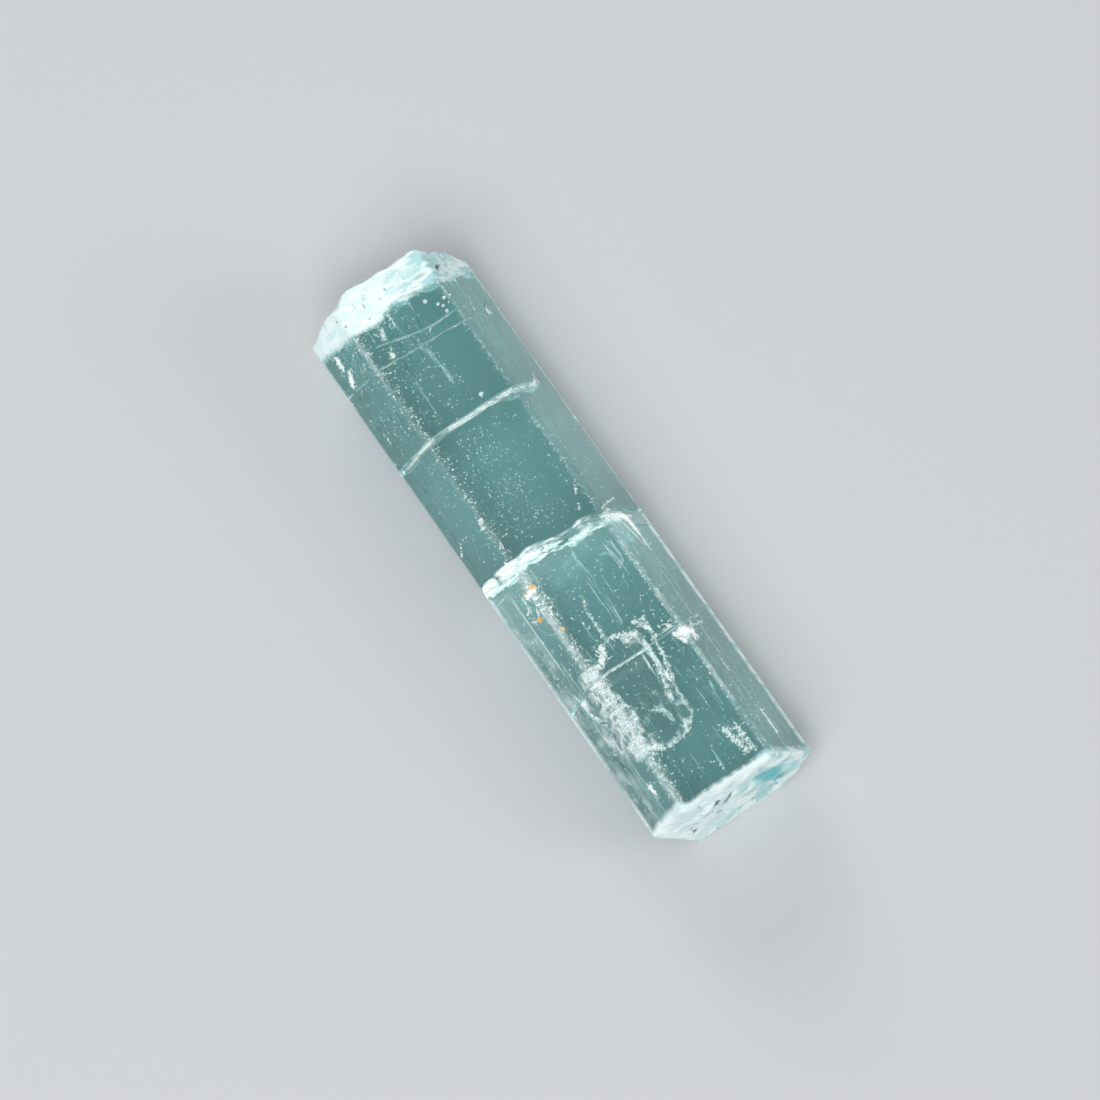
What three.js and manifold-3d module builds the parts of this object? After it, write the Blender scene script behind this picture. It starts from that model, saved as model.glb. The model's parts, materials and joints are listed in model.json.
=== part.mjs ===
// A single prismatic beryl crystal, loose, lying on one of its six prism faces.
// Millimetres, +Z up. +X runs along the crystal's long axis, +Y across it. The origin is under the
// middle of the crystal, on the plane of the face that it lies on.
import * as THREE from "three";
import { ImprovedNoise } from "three/addons/math/ImprovedNoise.js";
import { mergeVertices } from "three/addons/utils/BufferGeometryUtils.js";
import Module from "manifold-3d";

// Driving dimensions. The prism faces meet at 120 degrees, so four widths settle the cross-section.
const LENGTH = 30.4;
const TOP_WIDTH = 4.97;
const UPPER_RIGHT_WIDTH = 4.8;
const LOWER_RIGHT_WIDTH = 2.75;
const UPPER_LEFT_WIDTH = 2.92;
const LOWER_LEFT_WIDTH = UPPER_RIGHT_WIDTH + LOWER_RIGHT_WIDTH - UPPER_LEFT_WIDTH;
const BOTTOM_WIDTH = TOP_WIDTH + UPPER_LEFT_WIDTH - LOWER_RIGHT_WIDTH;
const DEPTH = (UPPER_RIGHT_WIDTH + LOWER_RIGHT_WIDTH) * Math.sin(Math.PI / 3);

// The six prism faces, from the top one round through +Y. turn is the way the face runs, in degrees.
// A ledge is a shallow growth step, `depth` below its face: from and to are shares of the face's
// width, x0 and x1 its ends. One that runs off the face reaches past 0 or 1.
const FACES = [
  {
    width: TOP_WIDTH,
    turn: 0,
    ledges: [
      { from: 0.81, to: 0.86, x0: 3.6, x1: 14.6, depth: 0.035 },
      { from: 0.52, to: 0.545, x0: 1.3, x1: 6.4, depth: 0.03 },
      { from: 0.1, to: 0.13, x0: -12.9, x1: -4.2, depth: 0.03 },
    ],
  },
  {
    width: UPPER_RIGHT_WIDTH,
    turn: -60,
    ledges: [{ from: 0.56, to: 1.1, x0: 1.5, x1: 16, depth: 0.05 }],
  },
  {
    width: LOWER_RIGHT_WIDTH,
    turn: -120,
    ledges: [{ from: 0.35, to: 0.42, x0: -13.2, x1: 9.4, depth: 0.04 }],
  },
  { width: BOTTOM_WIDTH, turn: 180, ledges: [] },
  {
    width: LOWER_LEFT_WIDTH,
    turn: 120,
    ledges: [
      { from: 0.2, to: 0.27, x0: 1.4, x1: 14.2, depth: 0.05 },
      { from: 0.6, to: 0.72, x0: -8.6, x1: 12.6, depth: 0.05 },
    ],
  },
  {
    width: UPPER_LEFT_WIDTH,
    turn: 60,
    ledges: [{ from: -0.1, to: 0.52, x0: 1.3, x1: 16, depth: 0.06 }],
  },
];

// Cracks, each a thin open gap that crosses the crystal. trace gives the line on which it meets the
// plane of the top face, as points (x, y). lean is how far it goes towards -X for each mm down. It is
// open at the prism faces, ends `depth` below them, and goes no lower than `floor`.
const CRACK_GAPE = 0.06;
const CRACK_GRID = 0.55;
const BREAK = {
  trace: [[0.3, -4.8], [0.27, -2.95], [0.41, -1.2], [0.51, 0.3], [0.75, 1.95], [0.8, 4.8]],
  lean: 0.055,
  depth: 2.8,
  floor: 1.2,
  waves: 0.24,
};
const CRACKS = [
  BREAK,
  { trace: [[-11.85, -2.3], [-11.3, 0.4], [-11.39, 2.3]], lean: 0.2, depth: 1.2, floor: 5, waves: 0.06 },
  {
    trace: [[-10.7, -4.1], [-10.85, -2.76], [-10.74, 0.3], [-10.7, 2.5], [-10.42, 3.9]],
    lean: 0.2,
    depth: 1.4,
    floor: 3.3,
    waves: 0.06,
  },
  {
    trace: [[-6.5, -4.3], [-6.71, -2], [-6.75, 1], [-6.72, 2.3], [-6.62, 3.8]],
    lean: 0,
    depth: 1.7,
    floor: 3.2,
    waves: 0.04,
  },
  {
    trace: [[8.1, -4.2], [7.5, -3.1], [7.41, -2], [7.41, 1.5], [7.1, 3.5]],
    lean: 0.15,
    depth: 0.9,
    floor: 3.6,
    waves: 0.08,
  },
];

// A shell-like crack that lies along the crystal at one height and comes out at the left faces.
const SHELL_CRACK = {
  z: 4.94,
  waves: 0.3,
  outline: [
    [6.06, 0.42],
    [8.56, 0.33],
    [11.0, 0.36],
    [11.73, -0.42],
    [11.95, -1.5],
    [11.5, -2.8],
    [11.2, -4.8],
    [6.9, -4.8],
    [6.5, -2.6],
    [6.63, -1.38],
    [6.21, -0.67],
  ],
};

// Growth tubes, fine square bores that run in from the ends, parallel to the axis, as far as x.
const TUBE_SIDE = 0.07;
const NEAR_TUBES = [
  { x: 1.6, y: -0.07, z: 4.1 },
  { x: 4.1, y: 1.37, z: 5.74 },
  { x: 2.7, y: 0.9, z: 3.3 },
  { x: 5.2, y: -2.1, z: 3.2 },
  { x: 3.4, y: 2.6, z: 3.7 },
];
const FAR_TUBES = [
  { x: -8.7, y: -0.07, z: 4.7 },
  { x: -7.7, y: -1.55, z: 4.4 },
];

// Two marks where the break comes out: a groove that turns off along the upper right face, a V-shaped
// cut from one (x, share of the face's width) to the next, and a nick on the left edge.
const GROOVE_RADIUS = 0.055;
const BREAK_GROOVE = { face: 1, trace: [[0.8, 0.05], [1.3, 0.3], [2.9, 0.5]] };
const BREAK_NICK = { x: 0.3, radius: 0.24 };

// A three-sided pit on the upper right face, by the far end.
const CORNER_PIT = { x: -13.95, share: 0.25, radius: 0.3, depth: 0.32, turn: 0.6 };

// Each end is a rough basal plane on a grid of points. Ramps lower it: one starts at `start` mm from
// the axis in the direction `toward` (degrees from +Y towards +Z), and falls by `drop` over `run`.
const END_GRID = 0.21;
const RIM_WEAR = { width: 0.34, drop: 0.14 };
const NEAR_END = {
  lumps: 0.1,
  seed: 3.7,
  ramps: [
    { toward: 180, start: -2.4, run: 4.8, drop: 0.1 },
    { toward: 0, start: -0.4, run: 1.6, drop: 0.1 },
    { toward: 180, start: 2.5, run: 1.8, drop: 0.3 },
    { toward: -12, start: 3.7, run: 0.7, drop: 0.12 },
    { toward: 62, start: 1.2, run: 0.12, drop: 0.06 },
    { toward: 120, start: 2.0, run: 0.12, drop: 0.07 },
  ],
  pits: [
    { y: 0.9, z: 3.9, radius: 0.38, depth: 0.16 },
    { y: -0.6, z: 2.3, radius: 0.42, depth: 0.15 },
    { y: 2.4, z: 1.7, radius: 0.34, depth: 0.13 },
    { y: -1.7, z: 4.8, radius: 0.3, depth: 0.1 },
  ],
};
const FAR_END = {
  lumps: 0.14,
  seed: 11.3,
  ramps: [
    { toward: 180, start: 2.2, run: 0.6, drop: 0.5 },
    { toward: 176, start: 3.5, run: 0.9, drop: 0.35 },
    { toward: 0, start: 1.75, run: 0.25, drop: 0.2 },
    { toward: -15, start: 3.1, run: 1.3, drop: 0.45 },
    { toward: -90, start: 1.5, run: 1.8, drop: 0.8 },
    { toward: 60, start: 1.1, run: 0.14, drop: 0.09 },
  ],
  pits: [
    { y: 1.9, z: 5.5, radius: 0.42, depth: 0.22 },
    { y: -1.0, z: 3.0, radius: 0.5, depth: 0.18 },
    { y: 0.7, z: 1.8, radius: 0.45, depth: 0.15 },
    { y: -2.3, z: 4.6, radius: 0.36, depth: 0.12 },
  ],
};

const wasm = await Module();
wasm.setup();

const noise = new ImprovedNoise();
const axisZ = DEPTH / 2;

/** 0 before start, 1 past start + run, and a straight slope between them. */
function ramp(value, start, run) {
  return THREE.MathUtils.clamp((value - start) / run, 0, 1);
}

/** The depth of a round-bottomed hollow at a distance from its middle. */
function hollow(distance, radius, depth) {
  return distance < radius ? depth * Math.cos((Math.PI / 2) * (distance / radius)) : 0;
}

/** The six corners of the cross-section, with the bottom face at z = 0 and the middle at y = 0. */
function corners() {
  const found = [];
  const walk = new THREE.Vector2(0, DEPTH);
  for (const face of FACES) {
    found.push(walk.clone());
    const along = THREE.MathUtils.degToRad(face.turn);
    walk.add(new THREE.Vector2(Math.cos(along), Math.sin(along)).multiplyScalar(face.width));
  }
  const middle = (Math.max(...found.map((c) => c.x)) + Math.min(...found.map((c) => c.x))) / 2;
  return found.map((c) => c.setX(c.x - middle));
}

const outline = corners();

/** The frame of a prism face at a point: X along the crystal, Y across the face, Z outwards. */
function onFace(index, x, share) {
  const { turn, width } = FACES[index];
  const place = new THREE.Matrix4().makeTranslation(x, outline[index].x, outline[index].y);
  const across = new THREE.Matrix4().makeRotationX(THREE.MathUtils.degToRad(turn));
  return place.multiply(across).multiply(new THREE.Matrix4().makeTranslation(0, share * width, 0));
}

/** How far (y, z) lies inside the nearest prism face. */
function insideBy(y, z) {
  return Math.min(
    ...FACES.map((face, i) => {
      const along = THREE.MathUtils.degToRad(face.turn);
      return (y - outline[i].x) * Math.sin(along) - (z - outline[i].y) * Math.cos(along);
    }),
  );
}

/** How far an end reaches from the middle of the crystal at (y, z). */
function reach(end, y, z) {
  const up = z - axisZ;
  const fall = end.ramps.reduce((sum, r) => {
    const angle = THREE.MathUtils.degToRad(r.toward);
    const out = y * Math.cos(angle) + up * Math.sin(angle);
    return sum + r.drop * ramp(out, r.start, r.run);
  }, 0);
  const sunk = end.pits.reduce(
    (sum, p) => sum + hollow(Math.hypot(y - p.y, z - p.z), p.radius, p.depth),
    0,
  );
  const worn = RIM_WEAR.drop * (1 - ramp(insideBy(y, z), 0, RIM_WEAR.width)) ** 2;
  const coarse = noise.noise(y * 0.9, z * 0.9, end.seed);
  const fine = noise.noise(y * 2.3, z * 2.3, end.seed + 5);
  return LENGTH / 2 - fall - sunk - worn + end.lumps * (coarse + 0.5 * fine);
}

/** A closed geometry as a solid that can be joined and cut. */
function toSolid(geometry) {
  const bare = geometry.clone().deleteAttribute("normal").deleteAttribute("uv");
  const merged = mergeVertices(bare, 1e-4);
  const vertProperties = new Float32Array(merged.getAttribute("position").array);
  const triVerts = new Uint32Array(merged.index.array);
  return new wasm.Manifold(new wasm.Mesh({ numProp: 3, vertProperties, triVerts }));
}

/** A solid's surface as a geometry. */
function toGeometry(solid) {
  const { vertProperties, triVerts } = solid.getMesh();
  const geometry = new THREE.BufferGeometry();
  geometry.setAttribute("position", new THREE.BufferAttribute(vertProperties, 3));
  geometry.setIndex(new THREE.BufferAttribute(triVerts, 1));
  geometry.computeVertexNormals();
  return geometry;
}

/** The six-sided bar, longer than the crystal at both ends, with its faces moved in by `inset`. */
function prism(inset) {
  const ring = outline.map((corner) => corner.toArray()).reverse();
  const section = new wasm.CrossSection([ring]).offset(-inset, "Miter");
  const length = LENGTH * 1.2;
  return section.extrude(length).translate([0, 0, -length / 2]).rotate([90, 0, 90]);
}

/** A block round the crystal whose two ends carry the relief. */
function roughEnded() {
  const width = outline[2].x - outline[5].x + 2 * END_GRID;
  const height = DEPTH + 2 * END_GRID;
  const block = new THREE.BoxGeometry(
    LENGTH,
    width,
    height,
    1,
    Math.round(width / END_GRID),
    Math.round(height / END_GRID),
  );
  block.translate(0, 0, axisZ);
  const place = block.getAttribute("position");
  for (let i = 0; i < place.count; i++) {
    const near = place.getX(i) > 0;
    const far = reach(near ? NEAR_END : FAR_END, place.getY(i), place.getZ(i));
    place.setX(i, near ? far : -far);
  }
  return toSolid(block);
}

/** A sheet across X, as thick as a crack. shift(y, z) says how far each place is pushed along X. */
function crumpledSheet(width, height, shift) {
  const sheet = new THREE.BoxGeometry(
    CRACK_GAPE,
    width,
    height,
    1,
    Math.round(width / CRACK_GRID),
    Math.round(height / CRACK_GRID),
  );
  const place = sheet.getAttribute("position");
  for (let i = 0; i < place.count; i++) {
    place.setX(i, place.getX(i) + shift(place.getY(i), place.getZ(i)));
  }
  return sheet;
}

/** Soft noise from -1 to 1, with a finer layer on it. */
function waves(u, v, seed) {
  return noise.noise(u * 0.8, v * 0.8, seed) + 0.5 * noise.noise(u * 2.1, v * 2.1, seed + 3);
}

/** The x at which a trace of (x, y) points passes y. */
function along(trace, y) {
  const next = THREE.MathUtils.clamp(
    trace.findIndex((point) => point[1] > y),
    1,
    trace.length - 1,
  );
  const [[x0, y0], [x1, y1]] = [trace[next - 1], trace[next]];
  return THREE.MathUtils.mapLinear(y, y0, y1, x0, x1);
}

/** The gap of a crack that crosses the crystal. */
function crackCut({ trace, lean, depth, floor, waves: swing }) {
  const left = trace[0][1];
  const right = trace.at(-1)[1];
  const top = DEPTH + CRACK_GRID;
  const sheet = crumpledSheet(right - left, top - floor, (y, z) => {
    const across = y + (left + right) / 2;
    const below = (top - floor) / 2 - z - CRACK_GRID;
    return along(trace, across) - lean * below + swing * waves(across, z, trace[0][0]);
  });
  sheet.translate(0, (left + right) / 2, (top + floor) / 2);
  return toSolid(sheet).subtract(prism(depth));
}

/** The gap of the shell-like crack. */
function shellCut() {
  const { z, waves: swing, outline: rim } = SHELL_CRACK;
  const box = new THREE.Box2().setFromPoints(rim.map((point) => new THREE.Vector2(...point)));
  const { x: length, y: width } = box.getSize(new THREE.Vector2());
  const middle = box.getCenter(new THREE.Vector2());
  const sheet = crumpledSheet(width, length, (u, v) => swing * waves(u, v, z));
  sheet.rotateY(-Math.PI / 2).translate(middle.x, middle.y, z);
  const punch = new wasm.CrossSection([rim], "NonZero").extrude(2).translate([0, 0, z - 1]);
  return toSolid(sheet).intersect(punch);
}

/** The bore of a growth tube, from its inner end to past the end of the crystal on that side. */
function tubeCut({ x, y, z }) {
  const length = LENGTH * 0.6 - Math.abs(x);
  const bore = new THREE.BoxGeometry(length, TUBE_SIDE, TUBE_SIDE);
  return toSolid(bore.translate(x + (Math.sign(x) * length) / 2, y, z));
}

/** The slab that a ledge takes off its face. */
function ledgeCut(index, ledge) {
  const across = (ledge.to - ledge.from) * FACES[index].width;
  const slab = new THREE.BoxGeometry(ledge.x1 - ledge.x0, across, 2 * ledge.depth);
  const middle = (ledge.x0 + ledge.x1) / 2;
  return toSolid(slab.applyMatrix4(onFace(index, middle, (ledge.from + ledge.to) / 2)));
}

/** The V-shaped cuts of a groove, one for each pair of its points. */
function grooveCuts({ face, trace }) {
  const points = trace.map(([x, share]) => new THREE.Vector3().applyMatrix4(onFace(face, x, share)));
  return points.slice(1).map((to, i) => {
    const cut = new THREE.CylinderGeometry(GROOVE_RADIUS, GROOVE_RADIUS, to.distanceTo(points[i]), 4);
    const along = to.clone().sub(points[i]).normalize();
    cut.applyQuaternion(new THREE.Quaternion().setFromUnitVectors(THREE.Object3D.DEFAULT_UP, along));
    const middle = to.clone().add(points[i]).divideScalar(2);
    return toSolid(cut.translate(middle.x, middle.y, middle.z));
  });
}

/** The four-sided cut of the nick on the left edge. */
function nickCut() {
  const left = outline[5];
  return toSolid(new THREE.OctahedronGeometry(BREAK_NICK.radius).translate(BREAK_NICK.x, left.x, left.y));
}

/** The three-sided pyramid of the corner pit, its point inwards. */
function pitCut() {
  const pyramid = new THREE.ConeGeometry(CORNER_PIT.radius, 2 * CORNER_PIT.depth, 3);
  pyramid.rotateX(-Math.PI / 2).rotateZ(CORNER_PIT.turn);
  return toSolid(pyramid.applyMatrix4(onFace(1, CORNER_PIT.x, CORNER_PIT.share)));
}

/** The whole crystal, cut from the prism. */
function crystalSolid() {
  const cuts = [
    ...FACES.flatMap((face, i) => face.ledges.map((ledge) => ledgeCut(i, ledge))),
    ...CRACKS.map(crackCut),
    shellCut(),
    ...[...NEAR_TUBES, ...FAR_TUBES].map(tubeCut),
    ...grooveCuts(BREAK_GROOVE),
    nickCut(),
    pitCut(),
  ];
  return cuts.reduce((body, cut) => body.subtract(cut), prism(0).intersect(roughEnded()));
}

const beryl = new THREE.MeshStandardMaterial({
  color: 0xbfe3e2,
  roughness: 0.08,
  metalness: 0,
  transparent: true,
  opacity: 0.45,
});

const crystal = new THREE.Mesh(toGeometry(crystalSolid()), beryl);
crystal.name = "crystal";
crystal.geometry.computeBoundingBox();
const { min, max } = crystal.geometry.boundingBox;
crystal.position.set(-(min.x + max.x) / 2, -(min.y + max.y) / 2, -min.z);

const part = new THREE.Group();
part.add(crystal);
export default part;
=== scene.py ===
"""A loose prismatic crystal of clear, pale aqua beryl: rough ends, worn edges, cracks, veils and flecks.

Lengths are in millimetres, in the crystal's own frame, and become metres where a mesh or a node takes
them. +X runs along the crystal, towards its flatter end, +Y across it, and +Z up from what it lies on.
"""

import enum
import functools
import json
import logging
import math
from dataclasses import dataclass
from typing import Any, Callable, Optional, Union

import bmesh
import bpy
import numpy as np
from mathutils import Matrix, Vector, noise
from mathutils.bvhtree import BVHTree

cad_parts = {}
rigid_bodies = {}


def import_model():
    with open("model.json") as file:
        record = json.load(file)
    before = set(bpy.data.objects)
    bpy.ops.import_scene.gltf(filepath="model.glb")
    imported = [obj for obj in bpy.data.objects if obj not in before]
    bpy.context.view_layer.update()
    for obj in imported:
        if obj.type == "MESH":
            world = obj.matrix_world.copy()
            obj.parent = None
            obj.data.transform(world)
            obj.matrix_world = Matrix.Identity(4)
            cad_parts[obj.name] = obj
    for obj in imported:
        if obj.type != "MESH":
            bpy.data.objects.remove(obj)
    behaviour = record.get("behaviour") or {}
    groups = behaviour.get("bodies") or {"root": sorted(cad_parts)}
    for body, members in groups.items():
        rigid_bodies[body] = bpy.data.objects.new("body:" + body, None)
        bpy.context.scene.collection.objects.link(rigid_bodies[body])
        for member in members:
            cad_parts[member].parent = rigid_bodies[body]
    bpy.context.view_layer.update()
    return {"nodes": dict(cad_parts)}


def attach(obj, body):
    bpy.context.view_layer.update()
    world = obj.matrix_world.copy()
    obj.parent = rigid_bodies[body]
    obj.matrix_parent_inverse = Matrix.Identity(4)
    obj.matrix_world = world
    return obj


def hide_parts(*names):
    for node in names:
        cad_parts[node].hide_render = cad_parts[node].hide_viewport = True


MM = 0.001
BODY = "root"
NODE = "crystal"

# How close two points are taken to be one.
WELD = 0.0005
# How far under the prism faces the sheets in the cracks end, and how thick they are.
SKIN = 0.09
SHEET = 0.014

log = logging.getLogger("beryl")


# ---------------------------------------------------------------- materials as expressions


class Field:
    """A value that varies over a surface: one output socket, which sums and products can be made of."""

    def __init__(self, graph: "Graph", socket: bpy.types.NodeSocket) -> None:
        """Wraps a socket.

        Args:
            graph: The node tree's owner.
            socket: The output that holds the value.
        """
        self.graph = graph
        self.socket = socket

    def math(self, operation: str, *values: "Value") -> "Field":
        """Adds one Math node.

        Args:
            operation: The Math node's operation.
            values: Its inputs, in order.

        Returns:
            The node's result.
        """
        made = self.graph.node("ShaderNodeMath", {"operation": operation}, dict(enumerate(values)))
        return Field(self.graph, made.outputs[0])

    def __add__(self, other: "Value") -> "Field":
        """self + other."""
        return self.math("ADD", self, other)

    def __sub__(self, other: "Value") -> "Field":
        """self - other."""
        return self.math("SUBTRACT", self, other)

    def __rsub__(self, other: "Value") -> "Field":
        """other - self."""
        return self.math("SUBTRACT", other, self)

    def __mul__(self, other: "Value") -> "Field":
        """self * other."""
        return self.math("MULTIPLY", self, other)

    def __rmul__(self, other: "Value") -> "Field":
        """other * self."""
        return self.math("MULTIPLY", other, self)

    def most(self, other: "Value") -> "Field":
        """The larger of the two."""
        return self.math("MAXIMUM", self, other)

    def size(self) -> "Field":
        """The value without its sign."""
        return self.math("ABSOLUTE", self)

    def rise(self, low: float, high: float) -> "Field":
        """A smooth step.

        Args:
            low: Where it leaves 0.
            high: Where it reaches 1. Below low, the step falls instead.

        Returns:
            A value from 0 to 1.
        """
        ends = {"From Min": min(low, high), "From Max": max(low, high)}
        ends.update({"To Min": 0.0, "To Max": 1.0} if low < high else {"To Min": 1.0, "To Max": 0.0})
        settings = {"interpolation_type": "SMOOTHSTEP"}
        made = self.graph.node("ShaderNodeMapRange", settings, {"Value": self, **ends})
        return Field(self.graph, made.outputs["Result"])


Value = Union[float, Field]


class Graph:
    """One material and its node tree."""

    def __init__(self, name: str) -> None:
        """Starts an empty material.

        Args:
            name: The material's name.
        """
        self.material = bpy.data.materials.new(name)
        self.material.use_nodes = True
        self.tree = self.material.node_tree
        self.tree.nodes.clear()
        self.output = self.tree.nodes.new("ShaderNodeOutputMaterial")

    def node(
        self,
        kind: str,
        settings: Optional[dict[str, Any]] = None,
        inputs: Optional[dict[Union[str, int], Any]] = None,
    ) -> bpy.types.Node:
        """Adds one node.

        Args:
            kind: The node's type.
            settings: Its properties, set first.
            inputs: A value, field or socket for each named or numbered input.

        Returns:
            The node.
        """
        made = self.tree.nodes.new(kind)
        for name, value in (settings or {}).items():
            setattr(made, name, value)
        for key, value in (inputs or {}).items():
            source = value.socket if isinstance(value, Field) else value
            if isinstance(source, bpy.types.NodeSocket):
                self.tree.links.new(source, made.inputs[key])
            else:
                made.inputs[key].default_value = source
        return made

    def place(self) -> bpy.types.NodeSocket:
        """The point on the piece, in metres."""
        return self.node("ShaderNodeTexCoord").outputs["Object"]

    def scaled(self, *fine: float) -> bpy.types.NodeSocket:
        """The point on the piece, stretched for a pattern that follows the crystal.

        Args:
            fine: How fine the pattern is along X, Y and Z, per metre. Z may be left out where it is
                as along Y.

        Returns:
            The stretched point.
        """
        size = {"Vector": self.place(), "Scale": (*fine, fine[-1])[:3]}
        return self.node("ShaderNodeMapping", None, size).outputs["Vector"]

    def axis(self, letter: str) -> Field:
        """One coordinate of the point on the piece, in millimetres."""
        parts = self.node("ShaderNodeSeparateXYZ", None, {0: self.place()})
        return Field(self, parts.outputs[letter]) * (1 / MM)

    def noise(self, *fine: float, detail: float = 3.0, scale: float = 1.0) -> Field:
        """Soft noise.

        Args:
            fine: How fine it is along X, Y and Z, per metre.
            detail: How many finer layers it has.
            scale: How many times finer still it is.

        Returns:
            A value round 0.5.
        """
        inputs = {"Vector": self.scaled(*fine), "Scale": scale, "Detail": detail}
        return Field(self, self.node("ShaderNodeTexNoise", None, inputs).outputs[0])

    def attribute(self, name: str) -> Field:
        """A value that the mesh carries."""
        return Field(self, self.node("ShaderNodeAttribute", {"attribute_name": name}).outputs["Fac"])

    def cells(self, *fine: float) -> Field:
        """The distance to the middle of the nearest cell."""
        inputs = {"Vector": self.scaled(*fine), "Scale": 1.0}
        return Field(self, self.node("ShaderNodeTexVoronoi", None, inputs).outputs["Distance"])

    def blend(self, share: Value, low: Any, high: Any) -> bpy.types.NodeSocket:
        """Mixes two colours.

        Args:
            share: How much of the second there is.
            low: The first colour.
            high: The second colour.

        Returns:
            The mixed colour.
        """
        mixed = self.node("ShaderNodeMix", {"data_type": "RGBA"}, {0: share, 6: low, 7: high})
        return mixed.outputs[2]

    def principled(self, inputs: dict[str, Any], painted_glow: float = 0.0, **settings: Any) -> bpy.types.Node:
        """Adds a Principled shader.

        Args:
            inputs: Its inputs, with its base colour.
            painted_glow: How much painted light of its own colour it gives off, though it is no lamp.
            settings: Its properties.

        Returns:
            The shader.
        """
        # Emission here is painted light, not a lamp.
        if painted_glow:
            inputs = {**inputs, "Emission Color": inputs["Base Color"], "Emission Strength": painted_glow}
        return self.node("ShaderNodeBsdfPrincipled", settings, inputs)

    def bump(self, height: Field, depth: float, strength: float) -> bpy.types.NodeSocket:
        """A surface's small relief.

        Args:
            height: The relief, from 0 to 1.
            depth: What 1 stands for, in millimetres.
            strength: How much of it shows.

        Returns:
            The bent normal.
        """
        inputs = {"Height": height, "Distance": depth * MM, "Strength": strength}
        return self.node("ShaderNodeBump", None, inputs).outputs["Normal"]

    def surface(self, shader: bpy.types.Node) -> bpy.types.Material:
        """Ends the tree with a surface shader and returns the material."""
        self.tree.links.new(shader.outputs[0], self.output.inputs["Surface"])
        return self.material


# ---------------------------------------------------------------- the shape of the cross-section


class Side(enum.Enum):
    """The prism faces, by how each runs across the crystal, in degrees."""

    TOP = 0
    UPPER_RIGHT = -60
    LOWER_RIGHT = -120
    BOTTOM = 180
    LOWER_LEFT = 120
    UPPER_LEFT = 60

    @property
    def across(self) -> Vector:
        """The way across the face, from the edge that it starts at."""
        turn = math.radians(self.value)
        return Vector((0.0, math.cos(turn), math.sin(turn)))

    @property
    def outward(self) -> Vector:
        """The face's outward normal."""
        turn = math.radians(self.value)
        return Vector((0.0, -math.sin(turn), math.cos(turn)))


@dataclass(frozen=True)
class Section:
    """The six-sided cross-section. Its faces meet at 120 degrees, so four widths settle it.

    Attributes:
        top: Width of the top face.
        upper_right: Width of the upper right face.
        lower_right: Width of the lower right face.
        upper_left: Width of the upper left face.
    """

    top: float = 4.97
    upper_right: float = 4.8
    lower_right: float = 2.75
    upper_left: float = 2.92

    @property
    def depth(self) -> float:
        """How high the top face is."""
        return (self.upper_right + self.lower_right) * math.sin(math.pi / 3)

    def widths(self) -> dict[Side, float]:
        """The width of every face."""
        return {
            Side.TOP: self.top,
            Side.UPPER_RIGHT: self.upper_right,
            Side.LOWER_RIGHT: self.lower_right,
            Side.BOTTOM: self.top + self.upper_left - self.lower_right,
            Side.LOWER_LEFT: self.upper_right + self.lower_right - self.upper_left,
            Side.UPPER_LEFT: self.upper_left,
        }

    def corners(self) -> dict[Side, Vector]:
        """Where each face starts, at X 0."""
        walk = Vector((0.0, 0.0, self.depth))
        found = {}
        for side, width in self.widths().items():
            found[side] = walk.copy()
            walk = walk + width * side.across
        across = [corner.y for corner in found.values()]
        middle = Vector((0.0, (max(across) + min(across)) / 2, 0.0))
        return {side: corner - middle for side, corner in found.items()}

    def inside_by(self, point: Vector) -> float:
        """How far a point is inside the nearest prism face."""
        return min((corner - point).dot(side.outward) for side, corner in self.corners().items())

    def on_face(self, side: Side, x: float, share: float, below: float = 0.0) -> Vector:
        """A point on or under a prism face.

        Args:
            side: The face.
            x: The place along the crystal.
            share: The place across the face, from 0 to 1.
            below: How far under the face.

        Returns:
            The point.
        """
        flat = self.corners()[side] + share * self.widths()[side] * side.across
        return Vector((x, flat.y, flat.z)) - below * side.outward


SECTION = Section()


# ---------------------------------------------------------------- working on a mesh


def pick(*pieces: bpy.types.Object) -> None:
    """Selects pieces and nothing else, and makes the first one active."""
    bpy.ops.object.select_all(action="DESELECT")
    for piece in pieces:
        piece.select_set(True)
    bpy.context.view_layer.objects.active = pieces[0]


def put_in(name: str, data: bpy.types.ID) -> bpy.types.Object:
    """Puts a new object with the given data into the scene."""
    made = bpy.data.objects.new(name, data)
    bpy.context.scene.collection.objects.link(made)
    return made


class Workbench:
    """Edit mode on one piece, with nothing selected to begin with."""

    def __init__(self, piece: bpy.types.Object) -> None:
        """Names the piece to work on, a mesh object."""
        self.piece = piece

    def __enter__(self) -> "Workbench":
        """Opens the piece."""
        pick(self.piece)
        bpy.ops.object.mode_set(mode="EDIT")
        bpy.ops.mesh.select_mode(type="FACE")
        bpy.ops.mesh.select_all(action="DESELECT")
        return self

    def __exit__(self, *_: Any) -> None:
        """Closes the piece."""
        bpy.ops.object.mode_set(mode="OBJECT")
        self.piece.select_set(False)

    def pick_all(self) -> None:
        """Selects everything."""
        bpy.ops.mesh.select_all(action="SELECT")

    def pick_faces(self, wanted: Callable[[bmesh.types.BMFace], bool]) -> None:
        """Selects faces, and nothing else.

        Args:
            wanted: Says whether a face is taken.
        """
        shape = bmesh.from_edit_mesh(self.piece.data)
        bpy.ops.mesh.select_all(action="DESELECT")
        for face in shape.faces:
            if wanted(face):
                face.select_set(True)
        bmesh.update_edit_mesh(self.piece.data)

    def cut(self, point: Vector, outward: Vector, **settings: Any) -> None:
        """Cuts everything by a plane and throws away what is outside it.

        Args:
            point: A point on the plane, in metres.
            outward: The plane's normal.
            settings: The bisect operator's other settings.
        """
        self.pick_all()
        bpy.ops.mesh.bisect(plane_co=point, plane_no=outward, clear_outer=True, **settings)

    def turn_outwards(self) -> None:
        """Turns every normal outwards."""
        self.pick_all()
        bpy.ops.mesh.normals_make_consistent(inside=False)


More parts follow.
